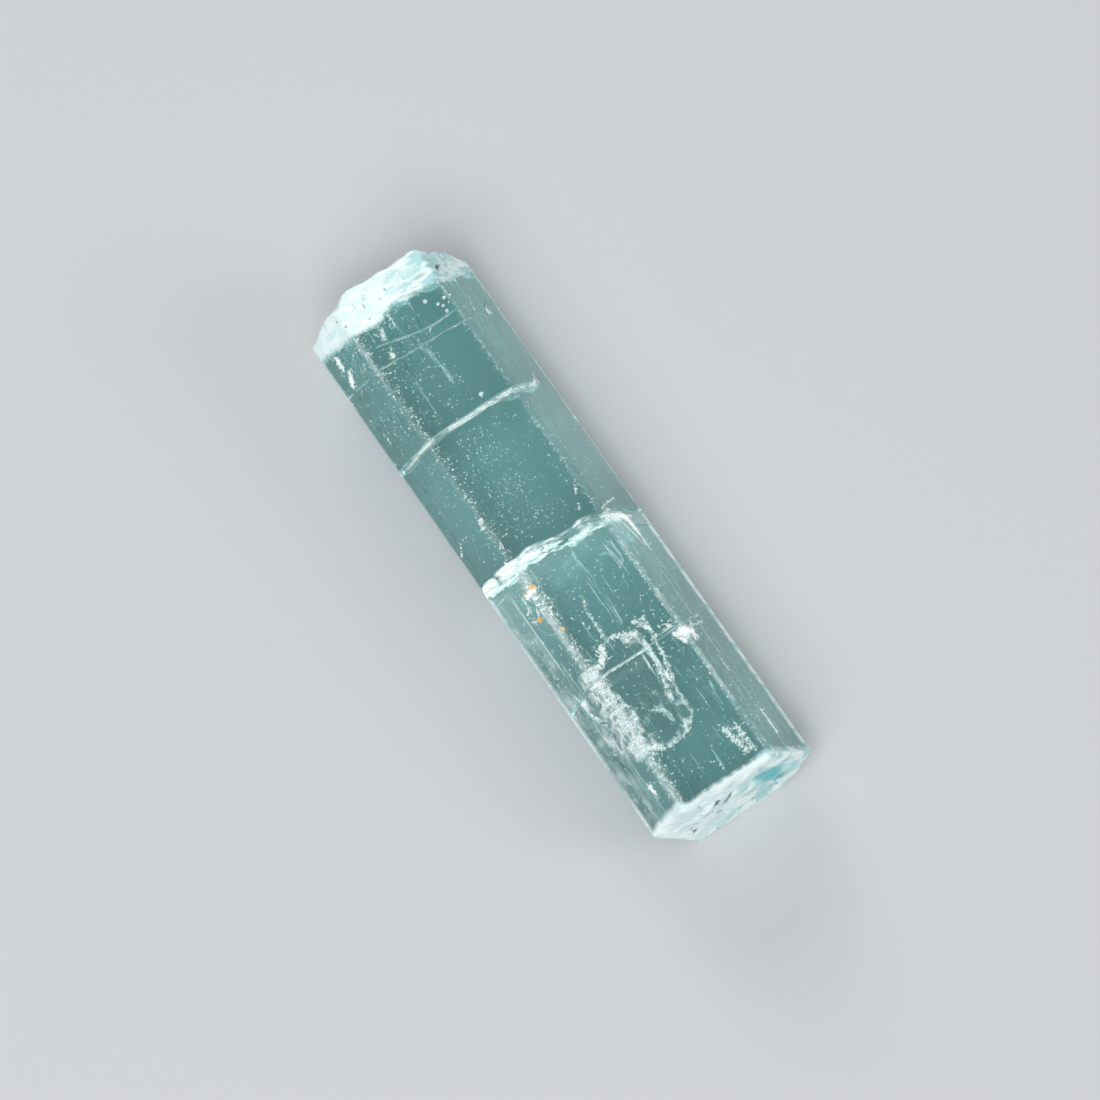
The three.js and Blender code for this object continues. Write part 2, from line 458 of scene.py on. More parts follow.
def apply_modifier(piece: bpy.types.Object, kind: str, **settings: Any) -> None:
    """Adds a modifier to a piece and applies it.

    Args:
        piece: A mesh object.
        kind: The modifier's type.
        settings: Its properties.
    """
    made = piece.modifiers.new(kind.lower(), kind)
    for name, value in settings.items():
        setattr(made, name, value)
    bpy.context.view_layer.objects.active = piece
    bpy.ops.object.modifier_apply(modifier=made.name)


def take_new(name: str) -> bpy.types.Object:
    """Names the primitive that was just added and moves its place and turn into its mesh.

    Args:
        name: The new piece's name.

    Returns:
        The piece.
    """
    piece = bpy.context.active_object
    piece.name = name
    pick(piece)
    bpy.ops.object.transform_apply(location=True, rotation=True, scale=True)
    return piece


def displace(piece: bpy.types.Object, kind: str, scale: float, reach: float, **settings: Any) -> None:
    """Pushes a piece's points along X by a texture.

    Args:
        piece: The piece.
        kind: The texture's type.
        scale: Its scale, in millimetres.
        reach: How far its full range pushes, in millimetres.
        settings: The modifier's other settings.
    """
    texture = bpy.data.textures.new(kind.lower(), kind)
    texture.noise_scale = scale * MM
    settings.update(texture=texture, texture_coords="LOCAL", direction="X", strength=reach * MM)
    apply_modifier(piece, "DISPLACE", **settings)


def slope(value: float, low: float, high: float) -> float:
    """How far a value is on its way from low, which gives 0, to high, which gives 1."""
    return min(1.0, max(0.0, (value - low) / (high - low)))


def mark(piece: bpy.types.Object, name: str, value: Callable[[Vector], float]) -> None:
    """Gives every point of a piece a number that its material reads.

    Args:
        piece: The piece.
        name: The number's name.
        value: The number at a place, in millimetres.
    """
    marks = piece.data.attributes.new(name, "FLOAT", "POINT").data
    for vertex in piece.data.vertices:
        marks[vertex.index].value = value(vertex.co / MM)


def gap(point: Vector, start: Vector, end: Vector) -> float:
    """The distance from a point to the line between two others."""
    side = end - start
    return (point - start - slope((point - start).dot(side), 0.0, side.length_squared) * side).length


@dataclass(frozen=True)
class Lining:
    """How a flat sheet becomes the ragged lining of one wall of an open crack.

    Attributes:
        density: How dense the lining is at a place, in millimetres, from 0, where there is none, to 1.
        least: The density below which there is no sheet.
        across: The way across the crack, towards the wall that is lined.
        proud: How far the sheet stands off the wall, into the crystal.
        reach: How far from the flat sheet the wall may be.
        layers: How far and at what scale the sheet wanders before it settles, for each layer of noise.
    """

    density: Callable[[Vector], float]
    least: float
    across: Vector
    proud: float
    reach: float
    layers: tuple = ()

    def apply(self, piece: bpy.types.Object, walls: BVHTree) -> None:
        """Lines the wall.

        Args:
            piece: The flat sheet.
            walls: The surface of the crystal's body.
        """
        with Workbench(piece) as bench:
            bench.pick_faces(lambda face: self.density(face.calc_center_median() / MM) < self.least)
            bpy.ops.mesh.delete(type="FACE")
        mark(piece, "dense", self.density)
        for wander, scale in self.layers:
            displace(piece, "CLOUDS", scale, 2 * wander, mid_level=0.5)
        self._settle(piece, walls)
        with Workbench(piece) as bench:
            for side, corner in SECTION.corners().items():
                bench.cut((corner - SKIN * side.outward) * MM, side.outward)
        with Workbench(piece) as bench:
            bench.turn_outwards()
        apply_modifier(piece, "SOLIDIFY", thickness=SHEET * MM, offset=0.0, solidify_mode="NON_MANIFOLD")

    def _settle(self, piece: bpy.types.Object, walls: BVHTree) -> None:
        """Moves the sheet onto the wall, wherever there is one within reach."""
        reach = self.reach * MM
        for vertex in piece.data.vertices:
            hit, normal, _, _ = walls.ray_cast(vertex.co + reach * self.across, -self.across, 2 * reach)
            if hit is not None and normal.dot(self.across) < 0:
                wander = 1.0 + noise.noise(vertex.co / MM * 3.0)
                vertex.co = hit + self.proud * wander * MM * self.across


def joined(name: str, pieces: list[bpy.types.Object]) -> bpy.types.Object:
    """Joins pieces into one.

    Args:
        name: The joined piece's name.
        pieces: The pieces, which are used up.

    Returns:
        The joined piece.
    """
    pick(*pieces)
    bpy.ops.object.join()
    pieces[0].name = name
    return pieces[0]


def finish_piece(piece: bpy.types.Object, material: bpy.types.Material) -> bpy.types.Object:
    """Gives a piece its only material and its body.

    Args:
        piece: The piece, in place.
        material: Its finish.

    Returns:
        The piece.
    """
    piece.data.materials.clear()
    piece.data.materials.append(material)
    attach(piece, BODY)
    return piece


# ---------------------------------------------------------------- finishes


@dataclass(frozen=True)
class BerylFinish:
    """Clear beryl, frosted where it is etched or worn.

    Attributes:
        ior: Beryl's index of refraction.
        clear: The colour that its surface lets through.
        tint: The colour that long paths through it tend to.
        density: How strongly it absorbs, per metre.
        frost: The colour of the etched ends.
        deep: The turquoise of their thicker patches.
        dark: The painted shade in their deep cuts and fine pits, and in the three-sided pit.
        earth: The colour of the earthy streaks near the far one.
        edges: The worn band along each prism edge, by the face that starts there: its width, and
            how frosted it is beyond the break and on this side of it.
    """

    ior: float = 1.58
    clear: tuple = (0.97, 0.995, 0.99, 1.0)
    tint: tuple = (0.18, 0.82, 0.81, 1.0)
    density: float = 90.0
    frost: tuple = (0.90, 0.985, 0.975, 1.0)
    deep: tuple = (0.13, 0.50, 0.53, 1.0)
    dark: tuple = (0.01, 0.035, 0.035, 1.0)
    earth: tuple = (0.34, 0.36, 0.27, 1.0)
    edges: tuple = (
        (Side.TOP, 0.26, 0.16, 0.36),
        (Side.UPPER_RIGHT, 0.2, 0.22, 0.42),
        # The lower right edge is frosted past full: worn frost, and a painted highlight along the
        # silhouette on that side.
        (Side.LOWER_RIGHT, 0.34, 1.7, 1.8),
        (Side.BOTTOM, 0.14, 0.4, 0.7),
        (Side.LOWER_LEFT, 0.14, 0.4, 0.7),
        (Side.UPPER_LEFT, 0.24, 0.5, 0.9),
    )

    def edge_wear_and_highlight(self, graph: Graph) -> Field:
        """How worn the surface is by the prism edges, from 0 to 1: a haze with white grains in it, and on
        the lower right edge also a painted highlight.
        """
        x = graph.axis("X")
        flat = graph.node("ShaderNodeCombineXYZ", None, {0: graph.axis("Y"), 1: graph.axis("Z")}).outputs[0]
        drift = graph.noise(240, 900, detail=4.0)
        hither_side = x.rise(0.7, 1.0)
        wide = 1.0 - hither_side * 0.45
        lively = hither_side.most(x.rise(-10.0, -11.0))
        bands = []
        hazes = []
        for side, width, beyond, hither in self.edges:
            corner = SECTION.corners()[side]
            inputs = {0: flat, 1: (corner.y, corner.z, 0.0)}
            away = graph.node("ShaderNodeVectorMath", {"operation": "DISTANCE"}, inputs).outputs["Value"]
            bands.append((Field(graph, away) * wide + 0.25 * (drift - 0.5)).rise(width, 0.1 * width))
            hazes.append(bands[-1] * (lively * (hither - beyond) + beyond))
        grains = graph.noise(8000, 11000).rise(0.56, 0.68) * functools.reduce(Field.most, bands)
        haze = functools.reduce(Field.most, hazes) * (drift.rise(0.35, 0.65) * 0.65 + 0.35)
        return haze + grains * (lively * 0.2 + 0.2)

    def fringes(self, graph: Graph) -> Field:
        """How far the frost of the ends reaches along the prism faces, from 0 to 1."""
        x = graph.axis("X")
        y = graph.axis("Y")
        drift = graph.noise(300, 600) - 0.5
        fine = graph.noise(1400, 3200, detail=4.0) - 0.5
        sides = 0.4 * y.rise(-2.6, -3.1) + 0.18 * y.rise(0.9, 1.6)
        near = (x + sides + 0.25 * drift + 0.35 * fine).rise(14.6, 15.0)
        upper = y.rise(-1.3, -0.8) * graph.axis("Z").rise(6.3, 6.5)
        leaning = x - 0.25 * graph.axis("Z") + 0.28 * upper
        far = (leaning + 0.4 * drift + 0.5 * fine).rise(-14.3, -14.62)
        return near.most(far * (fine + 0.5).rise(0.2, 0.42))

    def left_haze(self, graph: Graph) -> Field:
        """The fine haze low on the upper left face, beyond the break, from 0 to 1."""
        x = graph.axis("X")
        y = graph.axis("Y")
        band = x.rise(0.9, 3.2) * y.rise(-3.5, -3.85) * graph.axis("Z").rise(3.9, 4.05)
        soft = graph.noise(900, 1500, detail=6.0).rise(0.36, 0.74) * 0.45
        fine = graph.noise(5200, 5200).rise(0.5, 0.68) * 0.3
        line = (y + 3.66).size().rise(0.04, 0.01) * x.rise(1.0, 2.4) * x.rise(6.6, 5.2)
        return (band * soft.most(fine)).most(line * 0.45)

    def frosting(self, graph: Graph) -> Field:
        """How frosted the surface is, from 0 to 1."""
        facing = graph.node("ShaderNodeNewGeometry").outputs["True Normal"]
        lengthways = graph.node("ShaderNodeSeparateXYZ", None, {0: facing}).outputs["X"]
        ends = Field(graph, lengthways).size().rise(0.22, 0.5) * graph.axis("X").size().rise(13.0, 13.3)
        fibres = graph.noise(1500, 900, 4200, detail=4.0).rise(0.36, 0.54)
        lined = graph.attribute("crack") * fibres
        outside = self.fringes(graph).most(self.edge_wear_and_highlight(graph)).most(self.left_haze(graph))
        return ends.most(outside).most(lined)

    def etched_colour(self, graph: Graph) -> bpy.types.NodeSocket:
        """The colour of the etched surface: white frost with turquoise and earthy places, and painted shade
        in its cuts and pits.
        """
        x = graph.axis("X")
        y = graph.axis("Y")
        marked = graph.attribute("patch") * graph.noise(1100, 1300, detail=4.0).rise(0.34, 0.5)
        cloudy = graph.noise(500, 420, detail=2.0).rise(0.5, 0.7) * 0.5
        daubed = graph.noise(2800, 900, detail=4.0).rise(0.45, 0.6) * 0.6
        patches = marked.most(cloudy.most(daubed) * (y.rise(-2.0, 2.0) * 0.65 + 0.35))
        streaks = graph.noise(3600, 800).rise(0.48, 0.58)
        earthy = y.rise(0.0, 0.5) * x.rise(-12.6, -13.2) * streaks
        earthy = earthy * y.rise(1.9, 1.4) * x.rise(-14.1, -13.7) * 0.6
        # Fine dark specks: painted shade in small pits.
        holes = graph.noise(4200, 2600, detail=2.0).rise(0.68, 0.74)
        colour = graph.blend(patches, self.frost, self.deep)
        colour = graph.blend(earthy, colour, self.earth)
        # Painted shade in the cuts, the three-sided pit and the fine pits.
        return graph.blend(graph.attribute("cut").most(holes * 0.6), colour, self.dark)

    def make(self) -> bpy.types.Material:
        """Builds the material.

        Returns:
            One material for the whole crystal, with its absorption.
        """
        graph = Graph("beryl")
        clear = graph.principled(
            {
                "Base Color": self.clear,
                "Roughness": 0.03,
                "IOR": self.ior,
                "Transmission Weight": 1.0,
                "Normal": graph.bump(graph.noise(60, 4200, detail=2.0), depth=0.012, strength=0.25),
            },
            distribution="GGX",
        )
        relief = graph.cells(3000, 3600) * 0.5 + graph.noise(9000, 9000, detail=4.0) * 0.5
        etched = graph.principled(
            {
                "Base Color": self.etched_colour(graph),
                "Roughness": 0.55,
                "IOR": self.ior,
                "Transmission Weight": 0.25,
                "Normal": graph.bump(relief, depth=0.05, strength=0.7),
            },
            # The frost gives off a little painted light of its own colour, to make it whiter; it is no
            # lamp.
            painted_glow=0.1,
            distribution="GGX",
        )
        shaders = {0: self.frosting(graph), 1: clear.outputs[0], 2: etched.outputs[0]}
        absorption = {"Color": self.tint, "Density": self.density}
        absorbing = graph.node("ShaderNodeVolumeAbsorption", None, absorption)
        graph.tree.links.new(absorbing.outputs[0], graph.output.inputs["Volume"])
        return graph.surface(graph.node("ShaderNodeMixShader", None, shaders))


@dataclass(frozen=True)
class VeilFinish:
    """Broken or cloudy beryl inside the clear: white, with thinner turquoise places.

    Attributes:
        name: The material's name.
        white: Its colour where it is thick.
        thin: Its colour where it is thin.
        share: How much of it is thin, from 0 to 1.
        painted_glow: How much painted light of its own colour it gives off, standing in for light caught
            inside the crystal; it is no lamp.
        wisps: How fine its wisps are along X, Y and Z, per metre, on a sheet with marked density.
        solid: How much shows between the wisps, from about -0.1 to 0.5.
        fill: How much more shows where the sheet is dense.
    """

    name: str = "veil"
    white: tuple = (1.0, 0.98, 0.97, 1.0)
    thin: tuple = (0.50, 0.82, 0.82, 1.0)
    share: float = 0.4
    painted_glow: float = 0.3
    wisps: Optional[tuple] = None
    solid: float = 0.3
    fill: float = 0.0

    def make(self) -> bpy.types.Material:
        """Builds the material."""
        graph = Graph(self.name)
        cloud = graph.noise(2200, 2200, detail=4.0)
        grain = graph.noise(16000, 16000, detail=2.0)
        thin = (cloud + self.share - 0.5).rise(0.4, 0.62)
        inputs = {
            "Base Color": graph.blend(thin, self.white, self.thin),
            "Roughness": grain.rise(0.25, 0.8) * 0.3 + 0.25,
            "IOR": 1.5,
            "Normal": graph.bump(grain, depth=0.01, strength=0.5),
        }
        if self.wisps:
            smoke = graph.noise(*self.wisps, detail=5.0)
            crackle = graph.noise(*self.wisps, scale=3.4).rise(0.4, 0.56) * 0.65 + 0.35
            dense = graph.attribute("dense")
            inputs["Alpha"] = (smoke + self.solid + dense * self.fill).rise(0.5, 0.8) * dense * crackle
        # The veil gives off painted light of its own colour.
        return graph.surface(graph.principled(inputs, painted_glow=self.painted_glow))


@dataclass(frozen=True)
class StainFinish:
    """Rust that has seeped into a crack.

    Attributes:
        rust: Its main colour.
        ochre: Its paler colour.
        painted_glow: How much painted light of its own colour it gives off, standing in for light caught
            inside the crystal; it is no lamp.
    """

    rust: tuple = (0.98, 0.42, 0.03, 1.0)
    ochre: tuple = (0.90, 0.62, 0.12, 1.0)
    painted_glow: float = 0.4

    def make(self) -> bpy.types.Material:
        """Builds the material."""
        graph = Graph("stain")
        colour = graph.blend(graph.noise(3000, 3000).rise(0.4, 0.6), self.rust, self.ochre)
        # The rust gives off painted light of its own colour.
        return graph.surface(graph.principled({"Base Color": colour, "Roughness": 0.6}, painted_glow=self.painted_glow))


@dataclass(frozen=True)
class FloorFinish:
    """A plain, pale, matt surface.

    Attributes:
        colour: Its colour.
    """

    colour: tuple = (0.52, 0.53, 0.54, 1.0)

    def make(self) -> bpy.types.Material:
        """Builds the material."""
        graph = Graph("floor")
        return graph.surface(graph.principled({"Base Color": self.colour, "Roughness": 0.85}))


# ---------------------------------------------------------------- the crystal


@dataclass
class CrystalBody:
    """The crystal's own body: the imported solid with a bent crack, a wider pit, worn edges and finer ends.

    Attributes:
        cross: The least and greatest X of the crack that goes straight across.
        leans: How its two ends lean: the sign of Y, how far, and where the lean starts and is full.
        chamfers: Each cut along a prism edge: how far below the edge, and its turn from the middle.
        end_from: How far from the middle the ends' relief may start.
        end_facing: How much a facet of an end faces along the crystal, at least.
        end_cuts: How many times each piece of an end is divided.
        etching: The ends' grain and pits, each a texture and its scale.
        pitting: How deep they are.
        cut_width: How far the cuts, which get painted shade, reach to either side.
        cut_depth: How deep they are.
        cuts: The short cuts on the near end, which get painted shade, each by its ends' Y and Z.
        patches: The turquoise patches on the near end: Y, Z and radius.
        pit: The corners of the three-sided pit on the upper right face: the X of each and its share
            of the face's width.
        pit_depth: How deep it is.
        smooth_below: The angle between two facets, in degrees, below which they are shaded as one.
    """

    cross: tuple = (-7.4, -5.8)
    leans: tuple = ((1.0, 0.5, 2.2, 3.6), (-1.0, 0.33, 3.0, 4.2))
    chamfers: tuple = ((0.035, -16.0), (0.045, 0.0), (0.035, 16.0))
    end_from: float = 13.2
    end_facing: float = 0.3
    end_cuts: int = 3
    etching: tuple = (("CLOUDS", 0.22), ("VORONOI", 0.55))
    pitting: float = 0.05
    cut_width: float = 0.16
    cut_depth: float = 0.2
    cuts: tuple = (
        ((0.79, 5.45), (0.47, 5.39)), ((-0.36, 4.8), (-0.71, 4.1)), ((-1.08, 4.87), (-1.19, 4.43)),
        ((-0.58, 2.65), (-1.06, 3.19)), ((-1.4, 3.76), (-1.94, 3.86)), ((-1.79, 5.15), (-1.97, 5.12)),
        ((0.96, 1.46), (0.6, 1.6)), ((0.46, 1.58), (0.13, 1.3)), ((-2.23, 2.32), (-2.3, 1.88)),
        ((-2.23, 3.38), (-2.49, 3.54)),
    )
    patches: tuple = ((1.9, 3.6, 0.9), (2.3, 2.4, 0.7), (1.4, 4.2, 0.5), (2.6, 4.3, 0.35))
    pit: tuple = ((-13.96, 0.08), (-14.08, 0.38), (-13.35, 0.13))
    pit_depth: float = 0.3
    smooth_below: float = 24.0
    finish: BerylFinish = BerylFinish()

    def build(self, node: bpy.types.Object) -> bpy.types.Object:
        """Makes the body.

        Args:
            node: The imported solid, which is copied.

        Returns:
            The finished piece.
        """
        piece = put_in("beryl_prism", node.data.copy())
        self._join(piece)
        self._bend_crack(piece)
        self._deepen_pit(piece)
        self._chamfer(piece)
        self._refine_ends(piece)
        self._pit_ends(piece)
        self._mark_near_end(piece)
        self._paint_pit_shade(piece)
        self._mark_cracks(piece)
        self._shade(piece)
        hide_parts(NODE)
        return finish_piece(piece, self.finish.make())

    def _join(self, piece: bpy.types.Object) -> None:
        """Joins the copy's loose triangles into one closed surface."""
        with Workbench(piece) as bench:
            bench.pick_all()
            bpy.ops.mesh.customdata_custom_splitnormals_clear()
            bpy.ops.mesh.remove_doubles(threshold=WELD * MM)

    def _bend_crack(self, piece: bpy.types.Object) -> None:
        """Leans both ends of the crack that goes straight across towards the far end."""
        for vertex in piece.data.vertices:
            at = vertex.co / MM
            if self.cross[0] < at.x < self.cross[1]:
                vertex.co.x -= MM * sum(
                    lean * slope(sign * at.y, start, full) for sign, lean, start, full in self.leans
                )

    def _chamfer(self, piece: bpy.types.Object) -> None:
        """Takes a narrow strip off every prism edge."""
        sides = list(Side)
        corners = SECTION.corners()
        with Workbench(piece) as bench:
            for before, after in zip(sides[-1:] + sides[:-1], sides):
                middle = (before.outward + after.outward).normalized()
                for below, turn in self.chamfers:
                    normal = Matrix.Rotation(math.radians(turn), 3, "X") @ middle
                    point = (corners[after] - below * middle) * MM
                    bench.cut(point, normal, use_fill=True, threshold=WELD * MM)

    def _refine_ends(self, piece: bpy.types.Object) -> None:
        """Divides both rough ends and takes the corners off their facets."""
        with Workbench(piece) as bench:
            bench.pick_faces(
                lambda face: abs(face.normal.x) > self.end_facing
                and abs(face.calc_center_median().x) > self.end_from * MM
            )
            bpy.ops.mesh.subdivide(number_cuts=self.end_cuts)
            bpy.ops.mesh.select_less()
            bpy.ops.mesh.vertices_smooth(factor=0.5, repeat=4)

    def _pit_ends(self, piece: bpy.types.Object) -> None:
        """Etches pits and grain into both ends, always inwards."""
        for group, sign in (("near", 1.0), ("far", -1.0)):
            with Workbench(piece) as bench:
                bench.pick_faces(lambda face, sign=sign: self._at_end(face, sign))
                piece.vertex_groups.new(name=group)
                bpy.ops.object.vertex_group_assign()
            for kind, scale in self.etching:
                displace(piece, kind, scale, -sign * self.pitting, vertex_group=group, mid_level=0.0)

    def _at_end(self, face: bmesh.types.BMFace, sign: float) -> bool:
        """Says whether a face is an outer facet of the near end, where sign is 1, or the far one, -1."""
        x = face.calc_center_median().x
        return sign * face.normal.x > self.end_facing and sign * x > self.end_from * MM

    def _mark_near_end(self, piece: bpy.types.Object) -> None:
        """Sinks the cuts and marks them for painted shade, and marks the turquoise patches, for the finish.
        """
        cut = piece.data.attributes.new("cut", "FLOAT", "POINT").data
        patch = piece.data.attributes.new("patch", "FLOAT", "POINT").data
        for vertex in piece.data.vertices:
            if vertex.co.x < self.end_from * MM:
                continue
            at = Vector((vertex.co.y, vertex.co.z)) / MM
            depth = 1.0 - min(gap(at, Vector(a), Vector(b)) for a, b in self.cuts) / self.cut_width
            # The cut mark paints shade into the sunk cuts.
            cut[vertex.index].value = slope(1.6 * depth, 0.0, 1.0)
            vertex.co.x -= self.cut_depth * MM * max(0.0, depth)
            near = [math.exp(-(((at - Vector(place)).length / size) ** 4)) for *place, size in self.patches]
            patch[vertex.index].value = max(near)

    def _deepen_pit(self, piece: bpy.types.Object) -> None:
        """Widens the three-sided pit in the solid."""
        bpy.ops.mesh.primitive_cone_add(vertices=3, radius1=MM, depth=MM)
        cone = take_new("pit")
        tip = max(cone.data.vertices, key=lambda vertex: vertex.co.z)
        rim = [vertex for vertex in cone.data.vertices if vertex != tip]
        turned = sorted(rim, key=lambda vertex: math.atan2(vertex.co.y, vertex.co.x))
        for vertex, corner in zip(turned, self._pit_corners()):
            vertex.co = corner * MM
        tip.co = self._pit_tip() * MM
        with Workbench(cone) as bench:
            bench.turn_outwards()
        apply_modifier(piece, "BOOLEAN", object=cone, operation="DIFFERENCE", solver="EXACT")
        bpy.data.objects.remove(cone)

    def _paint_pit_shade(self, piece: bpy.types.Object) -> None:
        """Divides the walls of the three-sided pit and marks them for painted shade in the finish."""
        with Workbench(piece) as bench:
            bench.pick_faces(lambda face: self._in_pit(face.calc_center_median() / MM, 0.01))
            bpy.ops.mesh.subdivide(number_cuts=3)
        # The pit's walls get full painted shade.
        cut = piece.data.attributes["cut"].data
        for vertex in piece.data.vertices:
            if self._in_pit(vertex.co / MM, 0.03):
                cut[vertex.index].value = 1.0

    def _pit_corners(self) -> list[Vector]:
        """The corners of the pyramid that cuts the pit, a hair above the face."""
        return [SECTION.on_face(Side.UPPER_RIGHT, x, share, below=-0.05) for x, share in self.pit]

    def _pit_tip(self) -> Vector:
        """The tip of the pyramid that cuts the pit."""
        x, share = (sum(values) / 3 for values in zip(*self.pit))
        return SECTION.on_face(Side.UPPER_RIGHT, x, share, self.pit_depth)

    def _in_pit(self, point: Vector, depth: float) -> bool:
        """Says whether a point is on the walls of the three-sided pit and deeper than depth."""
        slack = 0.015
        corners = self._pit_corners()
        middle = sum(corners, Vector()) / 3
        for here, there in zip(corners, corners[1:] + corners[:1]):
            wall = (there - here).cross(self._pit_tip() - here).normalized()
            if wall.dot(middle - here) > 0:
                wall.negate()
            if wall.dot(point - here) > slack:
                return False
        return SECTION.inside_by(point) > depth

    def _mark_cracks(self, piece: bpy.types.Object) -> None:
        """Marks the walls of the cracks that cross the crystal for the finish.

        The far cracks are fainter, and the break in the middle fades towards its arm on the right.

        Args:
            piece: The body.
        """
        faint, strong, arm, full = 0.3, 0.6, 2.2, 3.2
        crack = piece.data.attributes.new("crack", "FLOAT", "FACE").data
        for face in piece.data.polygons:
            middle = face.center / MM
            if abs(middle.x) < self.end_from and SECTION.inside_by(middle) > 0.07:
                strength = faint if middle.x < -10.0 else strong
                fade = slope(middle.y, full, arm) if abs(middle.x) < 3.0 else 1.0
                steep = math.hypot(face.normal.x, face.normal.y if middle.y > arm else 0.0)
                crack[face.index].value = strength * fade * slope(steep, 0.5, 0.7)

    def _shade(self, piece: bpy.types.Object) -> None:
        """Shades the ends smooth and the prism faces flat."""
        pick(piece)
        bpy.ops.object.shade_smooth_by_angle(angle=math.radians(self.smooth_below))


# ---------------------------------------------------------------- cracks and veils


@dataclass(frozen=True)
class Strip:
    """A strip of crack: a path, swept down through the crystal.

    Attributes:
        path: Points along its upper edge.
        drop: The way from its upper edge to its lower one.
        cover: How much of it shows, at its upper edge and at its lower one.
        dense: How much more of it shows for each millimetre towards -Y.
        crumples: How far it wanders and at what scale, for each layer of noise.
        cell: The size of its facets.
        fibre: How fine its holes are along X, Y and Z, per millimetre.
        proud: How far it stands off the wall of the crack that it lines.
        fade: The Y from which it thins out.
    """

    path: tuple
    drop: tuple
    cover: tuple = (0.9, 0.3)
    dense: float = 0.0
    crumples: tuple = ((0.08, 0.9), (0.05, 0.25))
    cell: float = 0.09
    fibre: tuple = (2.0, 3.0, 1.1)
    proud: float = 0.025
    fade: float = 9.0

    def build(self, name: str, walls: BVHTree) -> bpy.types.Object:
        """Makes the strip.

        Args:
            name: Its name.
            walls: The surface of the crystal's body.

        Returns:
            The strip, as a closed shell with ragged holes, on the walls of the crack that it lines.
        """
        points = [Vector(point) for point in self.path]
        bpy.ops.mesh.primitive_plane_add(size=self.cell * MM, location=points[0] * MM)
        piece = take_new(name)
        with Workbench(piece) as bench:
            bpy.ops.mesh.select_mode(type="VERT")
            bench.pick_all()
            bpy.ops.mesh.merge(type="CENTER")
            for here, there in zip(points, points[1:]):
                steps = max(1, round((there - here).length / self.cell))
                for _ in range(steps):
                    move = {"value": (there - here) / steps * MM}
                    bpy.ops.mesh.extrude_vertices_move(TRANSFORM_OT_translate=move)
        self._sweep(piece)
        lining = Lining(
            self._density,
            least=0.06,
            across=Vector((1.0, 0.0, 0.0)),
            proud=self.proud,
            reach=0.5,
            layers=self.crumples,
        )
        lining.apply(piece, walls)
        return piece

    def _sweep(self, piece: bpy.types.Object) -> None:
        """Sweeps the upper edge down, row by row.

        Its order is fixed, because thickening merges short edges in the order in which they come, and
        the extrude operator leaves that order to chance.

        Args:
            piece: The upper edge, which becomes the sheet.
        """
        rows = max(1, round(Vector(self.drop).length / self.cell))
        step = Vector(self.drop) / rows * MM
        shape = bmesh.new()
        shape.from_mesh(piece.data)
        points, above = list(shape.verts), list(shape.edges)
        for _ in range(rows):
            lower = {point: shape.verts.new(point.co + step) for point in points}
            below = [shape.edges.new([lower[end] for end in edge.verts]) for edge in above]
            for edge in above:
                start, end = edge.verts
                shape.faces.new((start, end, lower[end], lower[start]))
            points, above = list(lower.values()), below
        shape.to_mesh(piece.data)
        shape.free()

    def _density(self, point: Vector) -> float:
        """How dense the crack is at a point, from 0, where there is none, to 1."""
        along = Vector(self.drop).normalized()
        aside = [point - Vector(start) for start in self.path]
        above = min(aside, key=lambda way: (way - way.dot(along) * along).length)
        down = slope(above.dot(along), 0.0, Vector(self.drop).length)
        cover = self.cover[0] + (self.cover[1] - self.cover[0]) * down - self.dense * point.y
        cover -= 2.0 * max(0.0, point.y - self.fade)
        stretched = Vector([place * fine for place, fine in zip(point, self.fibre)])
        return slope(noise.fractal(stretched, 0.8, 2.1, 4) + 0.9 * (cover - 0.5), -0.3, 0.4)


class StripPiece:
    """One piece that is made of strips of crack."""

    name: str
    finish: VeilFinish

    def strips(self) -> tuple[Strip, ...]:
        """The strips that it is made of."""
        raise NotImplementedError

    def build(self, walls: BVHTree) -> bpy.types.Object:
        """Makes the piece.

        Args:
            walls: The surface of the crystal's body.

        Returns:
            The finished piece.
        """
        made = [strip.build(f"{self.name}_{number}", walls) for number, strip in enumerate(self.strips())]
        return finish_piece(joined(self.name, made), self.finish.make())


